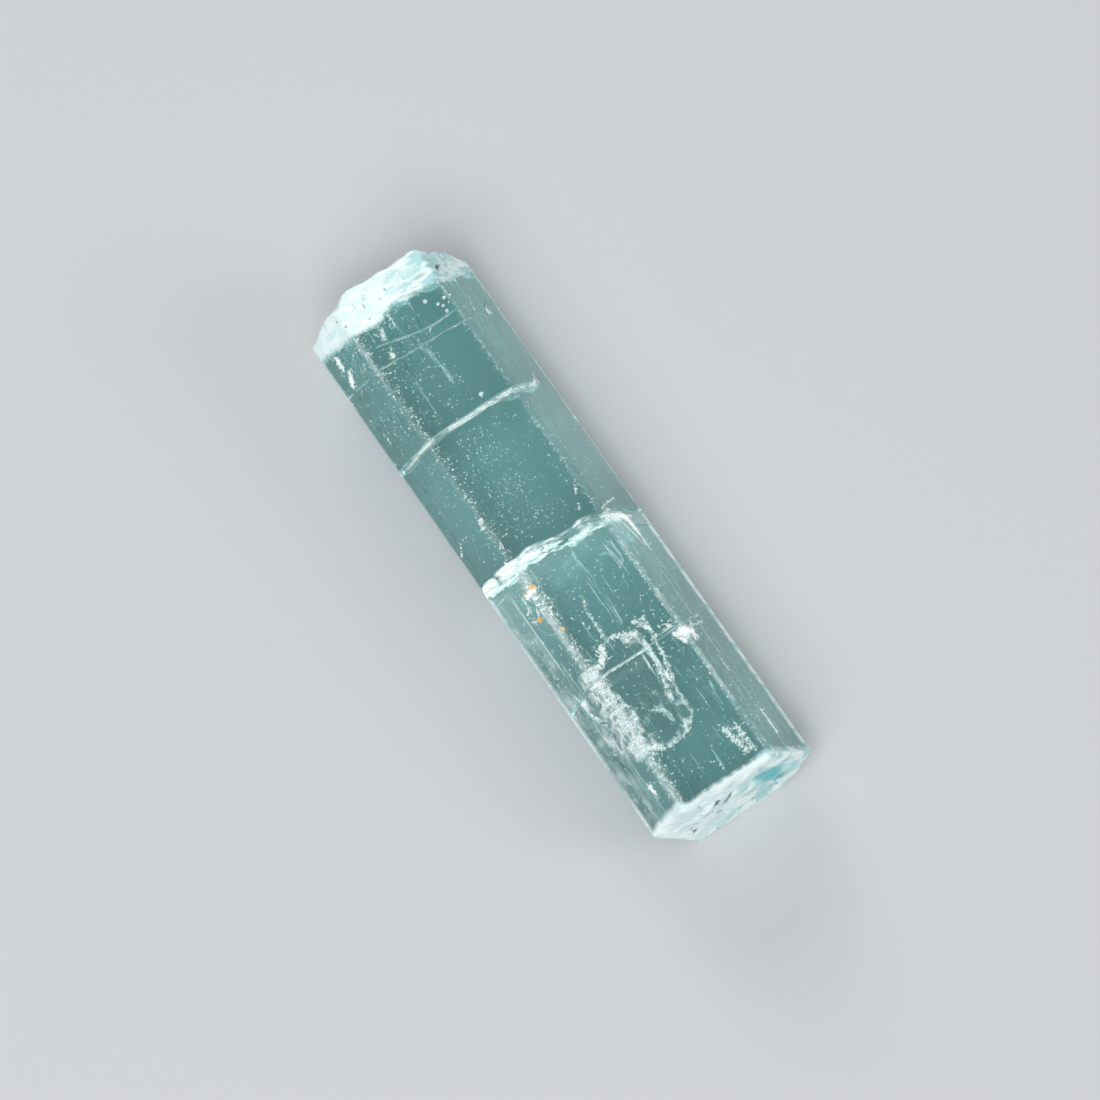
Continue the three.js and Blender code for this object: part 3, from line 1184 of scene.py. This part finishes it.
@dataclass
class Cracks(StripPiece):
    """Cracks that cross the crystal and show as pale lines."""

    name: str = "fine_cracks"
    far: tuple = (
        (-11.39, 2.25, 6.0), (-11.28, 1.82, 6.44), (-11.3, 1.25, 6.44), (-11.3, 0.53, 6.44),
        (-11.45, -0.43, 6.44), (-11.64, -1.38, 6.44), (-11.8, -2.0, 6.44),
    )
    second: tuple = (
        (-11.04, 3.83, 3.27), (-11.16, 3.33, 4.14), (-10.88, 2.47, 5.63), (-10.71, 1.73, 6.44),
        (-10.75, 0.29, 6.44), (-10.76, -1.38, 6.44), (-10.82, -2.0, 6.44), (-10.88, -2.76, 6.44),
        (-10.71, -3.07, 6.22), (-10.85, -3.54, 5.4), (-11.09, -4.02, 4.57),
    )
    cross: tuple = (
        (-6.73, 1.95, 6.44), (-6.75, 1.0, 6.44), (-6.74, 0.0, 6.44), (-6.73, -1.0, 6.44),
        (-6.71, -1.7, 6.44),
    )
    cross_right: tuple = ((-7.08, 3.5, 3.8), (-6.98, 3.2, 4.3), (-6.88, 2.8, 5.0), (-6.72, 2.2, 6.0))
    cross_left: tuple = ((-6.71, -1.7, 6.44), (-6.67, -2.9, 6.4), (-6.71, -3.4, 5.5), (-6.8, -4.0, 4.5))
    near: tuple = ((7.45, -2.5, 6.44), (7.41, -1.0, 6.44), (7.41, 0.3, 6.44))
    near_right: tuple = ((7.25, 2.4, 5.7), (7.12, 2.9, 4.8), (7.02, 3.2, 4.3))
    near_left: tuple = ((7.5, -3.1, 6.1), (7.55, -3.35, 5.5), (7.9, -3.8, 4.7), (8.15, -4.05, 4.2))
    # The crack lining gives off painted light of its own colour.
    finish: VeilFinish = VeilFinish("crack", share=0.25, painted_glow=0.34, wisps=(3000, 2600, 2200), solid=0.24)

    def strips(self) -> tuple[Strip, ...]:
        """The strips that it is made of."""
        fine = {"crumples": ((0.02, 0.8), (0.02, 0.15)), "cell": 0.06}
        coarse = {"crumples": ((0.03, 0.5), (0.04, 0.12)), "cell": 0.06}
        loose = {"crumples": ((0.05, 0.5), (0.05, 0.12)), "cell": 0.06}
        even = {"fibre": (2.0, 2.0, 2.0)}
        wide = {**coarse, **even, "cell": 0.07}
        return (
            Strip(self.far, (-0.25, 0.1, -1.2), (0.42, 0.0), **fine),
            Strip(self.second, (-0.27, 0.12, -1.4), (0.38, 0.0), **fine),
            Strip(self.cross, (0.0, 0.0, -1.15), (1.15, 0.85), **wide),
            Strip(self.cross_right, (0.0, 0.0, -0.9), (1.0, 0.8), **wide),
            Strip(self.cross_left, (0.0, 0.1, -1.0), (0.55, 0.35), **loose),
            Strip(self.near, (0.0, 0.0, -0.9), (1.3, 1.0), **coarse, **even),
            Strip(self.near_right, (0.0, -0.05, -0.4), (0.7, 0.4), **coarse),
            Strip(self.near_left, (0.0, 0.1, -0.5), (0.75, 0.4), **coarse),
        )


@dataclass
class BreakSheet(StripPiece):
    """The healed break across the middle: crumpled sheets with strands across, and a bright lower edge."""

    name: str = "break_sheet"
    wall: tuple = (
        (0.8, 3.9, 6.44), (0.75, 1.95, 6.44), (0.51, 0.3, 6.44), (0.41, -1.2, 6.44), (0.27, -2.95, 6.44),
        (0.3, -4.3, 6.44),
    )
    foot: tuple = (
        (0.25, 3.1, 1.5), (0.22, 1.96, 1.5), (0.18, 1.0, 1.5), (0.08, 0.05, 1.5), (-0.02, -0.91, 1.5),
        (-0.1, -1.87, 1.5), (-0.05, -3.2, 1.5),
    )
    lean: tuple = (-0.36, 0.0, -6.4)
    # The break sheets give off painted light of their own colour.
    finish: VeilFinish = VeilFinish(
        "break", share=0.3, painted_glow=0.42, wisps=(1800, 1100, 1700), solid=-0.1, fill=0.48
    )

    def strips(self) -> tuple[Strip, ...]:
        """The strips that it is made of."""
        rough = ((0.06, 0.7), (0.05, 0.25), (0.04, 0.1))
        loose = ((0.16, 0.8), (0.1, 0.25), (0.05, 0.1))
        strands = {"fibre": (1.0, 1.0, 1.6), "fade": 2.1}
        clumps = {"fibre": (1.5, 1.2, 1.2), "fade": 2.6}
        return (
            Strip(self.wall, self.lean, (0.5, 0.66), 0.09, rough, 0.08, **strands),
            Strip(self.wall, self.lean, (0.34, 0.4), 0.08, loose, 0.08, proud=0.13, **strands),
            Strip(self.wall, (0.0, 0.0, -0.5), (0.6, 0.4), 0.06, rough, 0.06, **strands),
            Strip(self.foot, (0.0, 0.0, -1.35), (0.95, 1.25), -0.02, rough, 0.06, **clumps),
        )


@dataclass
class ShellVeil:
    """A shell-like crack that lies along the crystal: a bright rim round a thin haze."""

    height: float = 4.94
    middle: tuple = (9.15, -1.2)
    size: float = 6.8
    cells: int = 170
    outline: tuple = (
        (6.06, 0.42), (8.56, 0.33), (11.0, 0.36), (11.4, 0.02), (11.73, -0.42), (11.95, -1.5), (11.8, -2.2),
        (11.5, -2.8), (11.2, -3.9), (7.0, -3.9), (6.5, -2.6), (6.63, -1.38), (6.21, -0.67),
    )
    # The shell veil gives off painted light of its own colour.
    finish: VeilFinish = VeilFinish(
        "shell_veil", share=0.15, painted_glow=0.34, wisps=(2200, 3600, 3600), solid=0.16
    )

    def build(self, walls: BVHTree) -> bpy.types.Object:
        """Makes the veil.

        Args:
            walls: The surface of the crystal's body.

        Returns:
            The finished piece.
        """
        bpy.ops.mesh.primitive_grid_add(
            x_subdivisions=self.cells,
            y_subdivisions=self.cells,
            size=self.size * MM,
            location=Vector((*self.middle, self.height)) * MM,
        )
        piece = take_new("shell_veil")
        across = Vector((0.0, 0.0, 1.0))
        Lining(self._density, least=0.08, across=across, proud=0.03, reach=0.45).apply(piece, walls)
        return finish_piece(piece, self.finish.make())

    def _density(self, point: Vector) -> float:
        """How dense the veil is at a point, from 0, where there is none, to 1."""
        x, y = point.x, point.y
        rim = self._rim(Vector((x, y))) + 0.08 * noise.noise(point * 1.7) + 0.05 * noise.noise(point * 5.0)
        if rim < 0:
            return 0.0
        arc = slope(x, 11.0, 11.4) * slope(-y, 2.9, 2.5) * slope(rim, 0.5, 0.28)
        upper = 0.9 * slope(abs(y - 0.22), 0.22, 0.08) * slope(x, 6.3, 7.0)
        inner = 0.6 * slope(abs(y + 0.15 + 0.065 * (x - 7.05)), 0.12, 0.04) * slope(x, 6.6, 7.2)
        streak = slope(abs(y + 2.17), 0.1, 0.04) * slope(x, 8.4, 9.0) * slope(x, 11.6, 11.2)
        lower = 0.8 * slope(-y, 2.1, 2.5) * slope(-y, 3.15, 2.65)
        haze = 0.4 * slope(x, 8.9, 9.8) * slope(-y, 1.75, 2.2) * slope(-y, 3.9, 3.4)
        left = 0.7 * slope(x, 6.9, 6.4) * slope(abs(y + 0.2), 0.6, 0.3)
        blotches = 0.5 * noise.noise(point * 1.8) + 0.4 * noise.noise(point * 5.0)
        dense = max(arc, upper, inner, streak, lower, haze, left)
        return slope(dense + blotches * slope(dense, 0.0, 0.4), 0.0, 1.0)

    def _rim(self, point: Vector) -> float:
        """The distance from a point to the outline, which is below 0 outside it."""
        ends = [Vector(corner) for corner in self.outline]
        lines = list(zip(ends, ends[1:] + ends[:1]))
        inside = False
        for here, there in lines:
            if (here.y > point.y) != (there.y > point.y):
                across = here.x + (point.y - here.y) / (there.y - here.y) * (there.x - here.x)
                inside ^= point.x < across
        nearest = min(gap(point, *line) for line in lines)
        return nearest if inside else -nearest


# ---------------------------------------------------------------- flecks, specks and needles


@dataclass(frozen=True)
class Trail:
    """Small pieces strewn along a path.

    Attributes:
        path: The path.
        count: How many pieces there are.
        spread: How far they stray from it.
        length: The least and greatest length of one.
    """

    path: tuple
    count: int
    spread: float
    length: tuple

    def places(self, chance: np.random.Generator) -> np.ndarray:
        """Picks the places.

        Args:
            chance: The source of chance.

        Returns:
            One point a row.
        """
        path = np.array(self.path, dtype=float)
        reach = np.concatenate(([0.0], np.cumsum(np.linalg.norm(np.diff(path, axis=0), axis=1))))
        at = chance.uniform(0.0, reach[-1], self.count)
        on_path = np.stack([np.interp(at, reach, path[:, k]) for k in range(3)], axis=1)
        return on_path + chance.normal(0.0, self.spread, (self.count, 3))


def trails(*rows: tuple) -> tuple[Trail, ...]:
    """Trails, each from a count, a spread, the least and greatest length, and its path's points."""
    return tuple(Trail(row[4:], *row[:2], row[2:4]) for row in rows)


@dataclass(frozen=True)
class Cloud:
    """Small pieces scattered through a block of the crystal.

    Attributes:
        low: The block's least corner.
        high: Its greatest corner.
        count: How many pieces are tried. Those outside the crystal are left out.
        length: The least and greatest length of one.
    """

    low: tuple
    high: tuple
    count: int
    length: tuple

    def places(self, chance: np.random.Generator) -> np.ndarray:
        """Picks the places, closer together in some parts than in others.

        Args:
            chance: The source of chance.

        Returns:
            One point a row.
        """
        tried = chance.uniform(self.low, self.high, (self.count, 3))
        bunched = [noise.noise(Vector(point) * 0.9) > chance.uniform(-0.5, 0.3) for point in tried]
        return tried[np.array(bunched)]


@dataclass
class Grains:
    """One small shape, repeated many times and joined into one piece.

    Attributes:
        name: The piece's name.
        sources: Where its pieces are.
        slim: How wide and how thick a piece is, as shares of its length.
        finish: Its finish.
        seed: Settles every place and turn.
        body: The crystal's body, which holds them.
        lengthways: Whether the pieces lie along the crystal.
        room: The least distance from a piece's middle to the crystal's surface.
    """

    name: str
    sources: tuple
    slim: tuple
    finish: Union[VeilFinish, StainFinish]
    seed: int
    body: bpy.types.Object
    lengthways: bool = False
    room: float = 0.09

    def build(self) -> bpy.types.Object:
        """Makes the piece.

        Returns:
            The finished piece.
        """
        corners, faces = self._shape()
        chance = np.random.default_rng(self.seed)
        blocks = []
        for source in self.sources:
            places = self._inside(source.places(chance))
            lengths = source.length[0] + np.diff(source.length) * chance.random(len(places)) ** 2
            sizes = lengths[:, None] * np.array((1.0, *self.slim))
            turned = np.einsum("nij,nkj->nki", self._turns(chance, len(places)), corners * sizes[:, None])
            blocks.append(turned + places[:, None])
        placed = np.concatenate(blocks)
        joined_faces = (faces[None] + len(corners) * np.arange(len(placed))[:, None, None]).reshape(-1, 3)
        mesh = bpy.data.meshes.new(self.name)
        mesh.from_pydata((placed.reshape(-1, 3) * MM).tolist(), [], joined_faces.tolist())
        return finish_piece(put_in(self.name, mesh), self.finish.make())

    def _inside(self, places: np.ndarray) -> np.ndarray:
        """Keeps the places that are inside the crystal, with a little room.

        Args:
            places: One point a row.

        Returns:
            The ones that are kept.
        """
        kept = []
        for place in places:
            at = Vector(place) * MM
            _, near, _, _ = self.body.closest_point_on_mesh(at)
            _, _, outward, _ = self.body.ray_cast(at, Vector((math.copysign(1.0, at.x), 0.0, 0.0)))
            kept.append(outward.x * at.x > 0 and (near - at).length > self.room * MM)
        return places[np.array(kept)]

    def _turns(self, chance: np.random.Generator, count: int) -> np.ndarray:
        """Picks a turn for each piece.

        Args:
            chance: The source of chance.
            count: How many there are.

        Returns:
            One rotation matrix each.
        """
        if self.lengthways:
            angles = np.pad(chance.normal(0.0, 0.02, (count, 2)), ((0, 0), (1, 0)))
        else:
            angles = chance.uniform(0.0, 2 * math.pi, (count, 3))
        turned = [
            Matrix.Rotation(c, 3, "Z") @ Matrix.Rotation(b, 3, "Y") @ Matrix.Rotation(a, 3, "X")
            for a, b, c in angles
        ]
        return np.array(turned, dtype=float).reshape(-1, 3, 3)

    def _shape(self) -> tuple[np.ndarray, np.ndarray]:
        """Models one splinter: a low-sided lens with its tips cut off aslant.

        Returns:
            Its corners, one long along X, and its triangles.
        """
        upright = (0, math.pi / 2, 0)
        bpy.ops.mesh.primitive_uv_sphere_add(segments=5, ring_count=3, radius=0.5, rotation=upright)
        piece = take_new("splinter")
        with Workbench(piece) as bench:
            for place, lean in ((0.38, (1.0, 0.5, 0.2)), (-0.33, (-1.0, 0.1, 0.6))):
                bench.cut(Vector((place, 0, 0)), Vector(lean), use_fill=True)
            bench.pick_all()
            bpy.ops.mesh.quads_convert_to_tris()
        corners = np.array([vertex.co[:] for vertex in piece.data.vertices])
        faces = np.array([polygon.vertices[:] for polygon in piece.data.polygons])
        bpy.data.objects.remove(piece)
        return corners, faces


@dataclass
class Inclusions:
    """Everything small inside the crystal.

    A row of trails() is the count, the spread, the least and greatest length, and the path's points.
    """

    flakes: tuple = trails(
        (80, 0.07, 0.08, 0.26, (6.63, 0.72, 5.64), (5.88, 0.34, 5.64)),
        (110, 0.08, 0.08, 0.26, (6.51, 0.15, 5.64), (6.3, -0.42, 5.64), (5.95, -0.99, 5.64)),
        (170, 0.1, 0.08, 0.26, (7.01, -2.21, 5.64), (6.56, -1.83, 5.64), (6.02, -1.51, 5.64)),
        (200, 0.06, 0.08, 0.24, (5.86, 0.85, 5.34), (7.17, 0.74, 5.44), (8.14, 0.56, 5.44),
         (9.25, 0.32, 5.44)),
        (200, 0.06, 0.08, 0.24, (7.17, 0.25, 5.24), (8.13, 0.15, 5.24), (9.1, -0.08, 5.24),
         (10.06, -0.22, 5.24)),
        (330, 0.17, 0.1, 0.32, (7.1, 1.5, 6.15), (7.49, 1.75, 6.2), (7.85, 2.2, 5.34)),
        (90, 0.05, 0.08, 0.26, (7.42, 1.4, 6.29), (7.84, 1.59, 6.29), (8.26, 1.78, 6.2)),
        (60, 0.04, 0.08, 0.24, (7.02, 2.58, 5.16), (6.88, 3.08, 4.3), (6.73, 3.4, 3.56)),
        (50, 0.04, 0.08, 0.22, (7.45, 2.58, 5.16), (7.3, 3.01, 4.42), (7.23, 3.3, 3.81)),
        (80, 0.05, 0.08, 0.26, (7.04, 2.55, 5.04), (7.66, 2.34, 5.4), (8.32, 2.06, 5.89)),
        (4, 0.02, 0.1, 0.22, (8.03, 0.17, 5.54), (8.1, 0.15, 5.5)),
        (60, 0.08, 0.08, 0.24, (7.23, -2.5, 5.74), (7.63, -2.74, 5.74)),
        (280, 0.2, 0.05, 0.2, (6.6, -2.6, 5.9), (9.0, -2.75, 5.9), (12.2, -2.6, 5.9)),
        (50, 0.06, 0.06, 0.16, (7.2, 1.3, 6.2), (7.3, 0.4, 6.2)),
        (220, 0.15, 0.05, 0.18, (0.9, -2.6, 6.0), (2.2, -2.7, 6.1), (4.0, -2.7, 6.1)),
        (950, 0.12, 0.08, 0.28, (0.88, 2.11, 6.2), (0.81, 2.37, 5.32), (0.88, 2.8, 4.58),
         (1.13, 3.05, 4.12)),
        (340, 0.09, 0.08, 0.26, (1.0, 2.98, 4.2), (1.5, 3.1, 4.05), (1.9, 3.14, 4.0)),
        (90, 0.05, 0.08, 0.24, (1.77, 3.14, 4.0), (2.84, 3.14, 4.0)),
        (90, 0.03, 0.08, 0.2, (-0.1, 3.1, 4.0), (0.2, 2.52, 5.07), (0.59, 2.08, 6.2)),
        (44, 0.012, 0.05, 0.12, (2.02, 1.42, 5.9), (2.21, 1.61, 5.9), (2.93, 1.66, 5.9)),
        (60, 0.012, 0.05, 0.12, (2.93, 1.66, 5.9), (3.32, 1.5, 5.9), (3.33, 1.33, 5.9), (2.37, 1.33, 5.9)),
        (50, 0.06, 0.1, 0.28, (9.22, -3.7, 4.93), (9.45, -3.7, 4.89)),
        (50, 0.06, 0.1, 0.28, (10.3, -3.7, 4.87), (10.55, -3.7, 4.87)),
        (60, 0.12, 0.04, 0.12, (-11.64, -3.1, 5.9), (-11.33, -3.27, 5.6)),
        (60, 0.03, 0.06, 0.16, (-13.2, -0.85, 5.54), (-12.2, -0.82, 5.54)),
        (70, 0.05, 0.06, 0.2, (-12.7, -1.45, 5.54), (-12.1, -1.6, 5.54)),
        (26, 0.03, 0.06, 0.2, (-1.22, 1.75, 6.04), (-0.67, 1.56, 6.04)),
        (16, 0.03, 0.06, 0.2, (-0.23, 1.42, 6.04), (0.12, 1.23, 6.04)),
        (24, 0.05, 0.06, 0.2, (-2.21, -2.81, 5.94), (-1.48, -2.85, 5.94)),
        (26, 0.05, 0.06, 0.2, (-2.24, -3.8, 4.28), (-1.66, -4.0, 3.84)),
        (30, 0.1, 0.06, 0.2, (12.62, 1.67, 5.34), (12.65, 0.96, 5.34)),
        (260, 0.09, 0.06, 0.22, (12.4, 0.9, 5.4), (14.1, 1.25, 5.4)),
        (200, 0.09, 0.06, 0.22, (12.8, 1.5, 5.5), (14.1, 1.53, 5.5)),
        (170, 0.06, 0.06, 0.22, (12.34, 2.95, 4.17), (13.77, 2.95, 4.16)),
        (24, 0.04, 0.06, 0.2, (13.35, -0.08, 4.94), (14.31, -0.08, 4.94)),
        (50, 0.03, 0.06, 0.2, (9.21, 2.7, 4.67), (10.17, 2.7, 4.67)),
        (34, 0.02, 0.06, 0.2, (-12.25, 2.95, 4.18), (-11.3, 2.7, 4.68)),
        (12, 0.045, 0.14, 0.28, (-7.3, 0.64, 5.64), (-7.35, 0.62, 5.6)),
        (110, 0.06, 0.08, 0.26, (-13.0, -3.7, 4.7), (-12.35, -3.73, 4.64)),
        (150, 0.07, 0.08, 0.26, (-11.95, -3.6, 4.9), (-11.36, -3.82, 4.52)),
        (70, 0.06, 0.06, 0.2, (-11.35, -1.78, 5.54), (-11.15, -1.71, 5.54)),
        (60, 0.08, 0.04, 0.14, (-12.83, -1.52, 5.54), (-11.35, -1.66, 5.54)),
        (6, 0.04, 0.1, 0.2, (-6.64, -3.7, 4.4), (-6.6, -3.72, 4.38)),
        (26, 0.05, 0.06, 0.2, (-6.9, -2.6, 5.9), (-6.45, -2.75, 6.1)),
        (40, 0.04, 0.06, 0.2, (2.05, -2.56, 6.04), (2.26, -2.89, 6.04), (1.98, -3.05, 5.79)),
        (60, 0.08, 0.04, 0.12, (1.93, -2.71, 6.1), (2.65, -2.8, 6.1)),
        (150, 0.06, 0.08, 0.24, (2.16, -2.7, 6.3), (2.26, -3.02, 5.86)),
        (50, 0.03, 0.06, 0.2, (2.62, -2.46, 6.04), (3.1, -2.3, 6.04), (3.59, -2.69, 6.04),
         (3.1, -2.85, 6.0)),
        (44, 0.07, 0.06, 0.2, (2.53, -3.1, 5.67), (3.43, -3.3, 5.36)),
        (50, 0.02, 0.06, 0.2, (1.56, -3.25, 5.64), (2.3, -3.2, 5.7), (2.75, -3.28, 5.58),
         (2.77, -3.45, 5.27)),
        (44, 0.02, 0.06, 0.2, (2.95, -3.0, 6.02), (3.3, -3.1, 5.9), (3.38, -3.28, 5.59),
         (3.16, -3.46, 5.27)),
        (22, 0.04, 0.06, 0.2, (3.99, -3.5, 5.1), (4.43, -3.5, 5.1)),
        (30, 0.06, 0.06, 0.2, (9.28, -3.5, 4.64), (10.46, -3.5, 4.59)),
        (90, 0.06, 0.08, 0.24, (12.79, -3.3, 5.44), (13.45, -3.3, 5.46)),
        (16, 0.04, 0.06, 0.2, (-8.61, -3.8, 4.3), (-8.12, -3.8, 4.3)),
        (30, 0.06, 0.04, 0.12, (2.43, -1.79, 5.04), (3.17, -2.16, 5.04), (3.66, -2.35, 5.04)),
        (110, 0.05, 0.06, 0.2, (3.7, -1.0, 5.34), (4.37, -1.15, 5.34), (6.0, -1.2, 5.34)),
    )
    growth_lines: tuple = (
        *trails(
            (26, 0.05, 0.5, 1.4, (1.36, -0.07, 4.94), (5.7, -0.06, 4.94)),
            (10, 0.04, 0.5, 1.4, (3.2, -0.23, 4.34), (5.61, -0.23, 4.34)),
            (6, 0.02, 0.3, 0.6, (1.88, -0.89, 5.54), (2.46, -0.89, 5.54)),
            (14, 0.04, 0.4, 1.2, (4.28, -1.18, 4.74), (6.2, -1.17, 4.74)),
            (16, 0.04, 0.4, 1.4, (4.07, 1.37, 5.74), (6.47, 1.37, 5.74)),
            (80, 0.06, 0.3, 0.9, (-11.02, -0.31, 5.04), (-10.06, -0.07, 5.04), (-8.69, -0.07, 5.04)),
            (44, 0.025, 0.2, 0.7, (-9.68, -1.53, 5.34), (-7.72, -1.62, 5.34)),
            (10, 0.02, 0.3, 1.0, (-13.67, 0.34, 5.54), (-12.19, 0.3, 5.54)),
            (14, 0.05, 0.2, 0.9, (-13.21, -0.85, 5.54), (-11.89, -0.8, 5.54)),
            (12, 0.02, 0.4, 1.0, (-14.2, -2.05, 5.14), (-12.13, -2.05, 5.14)),
            (24, 0.012, 0.3, 0.8, (2.1, 1.6, 6.04), (3.4, 1.6, 6.04)),
            (24, 0.012, 0.3, 0.8, (2.1, 1.25, 6.04), (3.4, 1.25, 6.04)),
        ),
        Cloud((-10.0, -3.8, 1.0), (0.0, 4.0, 6.2), 90, (0.2, 0.9)),
        Cloud((1.2, -3.8, 0.8), (13.4, 4.0, 6.3), 220, (0.3, 1.8)),
    )
    specks: tuple = (
        Cloud((-6.2, -4.0, 1.5), (-0.3, 3.4, 6.3), 500, (0.04, 0.12)),
        Cloud((-6.2, -2.6, 3.5), (-0.3, 0.4, 6.3), 700, (0.04, 0.12)),
        Cloud((-13.5, -3.9, 3.0), (-7.0, 0.5, 6.3), 900, (0.05, 0.14)),
        Cloud((1.0, -4.0, 1.5), (14.0, 3.8, 6.3), 1700, (0.05, 0.14)),
        Cloud((-15.0, -4.1, 0.3), (-13.9, 4.1, 6.4), 2600, (0.05, 0.16)),
        *trails(
            (420, 0.11, 0.04, 0.11, (-13.5, -2.72, 6.28), (0.5, -2.72, 6.28)),
            (260, 0.14, 0.04, 0.12, (0.8, -2.72, 6.28), (6.0, -2.72, 6.2)),
            (460, 0.16, 0.04, 0.13, (6.0, -2.65, 6.2), (14.4, -2.7, 6.25)),
            (520, 0.07, 0.04, 0.1, (-13.5, 1.9, 6.3), (14.4, 1.9, 6.3)),
        ),
    )
    bubbles: tuple = trails(
        (3, 0.02, 0.14, 0.24, (-12.26, 1.8, 5.74), (-12.24, 1.8, 5.74)),
        (3, 0.02, 0.14, 0.24, (-11.96, 1.58, 5.74), (-11.94, 1.58, 5.74)),
        (4, 0.02, 0.16, 0.26, (-11.62, 1.56, 5.74), (-11.6, 1.56, 5.74)),
        (4, 0.02, 0.16, 0.26, (-12.16, 1.42, 5.74), (-12.14, 1.42, 5.74)),
        (5, 0.025, 0.16, 0.28, (-12.65, 0.92, 5.74), (-12.55, 1.0, 5.74)),
    )
    stains: tuple = trails(
        (34, 0.045, 0.12, 0.26, (1.98, -2.76, 6.38), (2.06, -2.72, 6.36)),
        (12, 0.04, 0.06, 0.16, (2.08, -3.0, 5.93), (2.14, -3.05, 5.9)),
        (14, 0.03, 0.08, 0.16, (4.37, -2.78, 6.33), (4.6, -2.66, 6.33)),
        (34, 0.045, 0.12, 0.26, (3.4, -3.1, 5.84), (3.48, -3.14, 5.8)),
    )

    def build(self, body: bpy.types.Object) -> list[bpy.types.Object]:
        """Makes the flecks, needles, specks and stains.

        Args:
            body: The crystal's body, which holds them.

        Returns:
            The finished pieces.
        """
        # These finishes give off painted light of their own colour, the flakes and specks by default.
        white = VeilFinish("flake", share=0.2)
        pale = VeilFinish("growth_line", thin=(0.62, 0.86, 0.86, 1.0), share=0.5, painted_glow=0.18)
        kinds = (
            Grains("flakes", self.flakes, (0.45, 0.16), white, 11, body),
            Grains("growth_lines", self.growth_lines, (0.022, 0.022), pale, 12, body, lengthways=True),
            Grains("specks", self.specks, (0.8, 0.5), white, 13, body),
            Grains("bright_spots", self.bubbles, (0.8, 0.7), white, 14, body),
            Grains("rust_stains", self.stains, (0.7, 0.3), StainFinish(), 15, body),
        )
        return [kind.build() for kind in kinds]


# ---------------------------------------------------------------- the studio


@dataclass
class Studio:
    """The floor, lights and camera.

    Attributes:
        floor_gap: How far the floor is under the crystal.
        frame_width: How wide the picture is where the camera aims.
        sensor: The camera's sensor width.
        lens: Its focal length.
        azimuth: Which way it looks round the crystal, in degrees.
        elevation: How steeply it looks down, in degrees.
        aim_shift: How far right and up of the crystal's middle it aims.
        lamps: Each soft lamp's name, its place and size in metres, and its power in watts.
        sky: The sky's colour.
        sky_strength: How bright it is.
    """

    floor_gap: float = 0.03
    frame_width: float = 51.7
    sensor: float = 36.0
    lens: float = 300.0
    azimuth: float = 56.25
    elevation: float = 72.0
    aim_shift: tuple = (-0.3055, -0.3572)
    lamps: tuple = (
        ("key", (0.2, -0.24, 0.46), 0.36, 2.6),
        ("side", (-0.42, 0.05, 0.26), 0.3, 1.0),
        ("fill", (0.3, 0.32, 0.3), 0.25, 0.6),
    )
    sky: tuple = (0.9, 0.95, 1.0, 1.0)
    sky_strength: float = 0.3

    def build(self) -> None:
        """Sets the whole studio."""
        self._camera()
        self._floor()
        self._lights()

    def _camera(self) -> None:
        """Adds the camera, far off with a long lens, looking down on the crystal."""
        turn = math.radians(self.azimuth)
        tilt = math.radians(self.elevation)
        right = Vector((math.cos(turn), math.sin(turn), 0))
        back = Vector((math.sin(turn) * math.cos(tilt), -math.cos(turn) * math.cos(tilt), math.sin(tilt)))
        up = back.cross(right)
        data = bpy.data.cameras.new("camera")
        data.lens = self.lens
        data.sensor_width = self.sensor
        data.clip_start = 0.01
        distance = self.frame_width * self.lens / self.sensor
        aim = Vector((0, 0, SECTION.depth / 2)) + self.aim_shift[0] * right + self.aim_shift[1] * up
        turned = Matrix((right, up, back)).transposed().to_4x4()
        camera = put_in("camera", data)
        camera.matrix_world = Matrix.Translation((aim + distance * back) * MM) @ turned
        bpy.context.scene.camera = camera

    def _floor(self) -> None:
        """Adds the floor, a hair under the crystal."""
        bpy.ops.mesh.primitive_grid_add(size=2.0, location=(0, 0, -self.floor_gap * MM))
        floor = bpy.context.active_object
        floor.name = "floor"
        floor.data.materials.append(FloorFinish().make())

    def _lights(self) -> None:
        """Adds soft lamps and an even sky."""
        for name, place, size, power in self.lamps:
            lamp = bpy.data.lights.new(name, "AREA")
            lamp.size = size
            lamp.energy = power
            holder = put_in(name, lamp)
            holder.location = place
            holder.rotation_euler = Vector(place).to_track_quat("Z", "Y").to_euler()
        world = bpy.data.worlds.new("sky")
        world.use_nodes = True
        background = world.node_tree.nodes["Background"].inputs
        background["Color"].default_value = self.sky
        background["Strength"].default_value = self.sky_strength
        bpy.context.scene.world = world
        bpy.context.scene.view_settings.view_transform = "Standard"


def main() -> None:
    """Builds the crystal, what is inside it, and the studio."""
    logging.basicConfig(level=logging.INFO, format="%(name)s: %(message)s")
    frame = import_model()
    Studio().build()
    pieces = [CrystalBody().build(frame["nodes"][NODE])]
    walls = BVHTree.FromObject(pieces[0], bpy.context.evaluated_depsgraph_get())
    pieces.extend(part.build(walls) for part in (Cracks(), BreakSheet(), ShellVeil()))
    pieces.extend(Inclusions().build(pieces[0]))
    for piece in pieces:
        log.info("%s: %d faces", piece.name, len(piece.data.polygons))


if __name__ == "__main__":
    main()
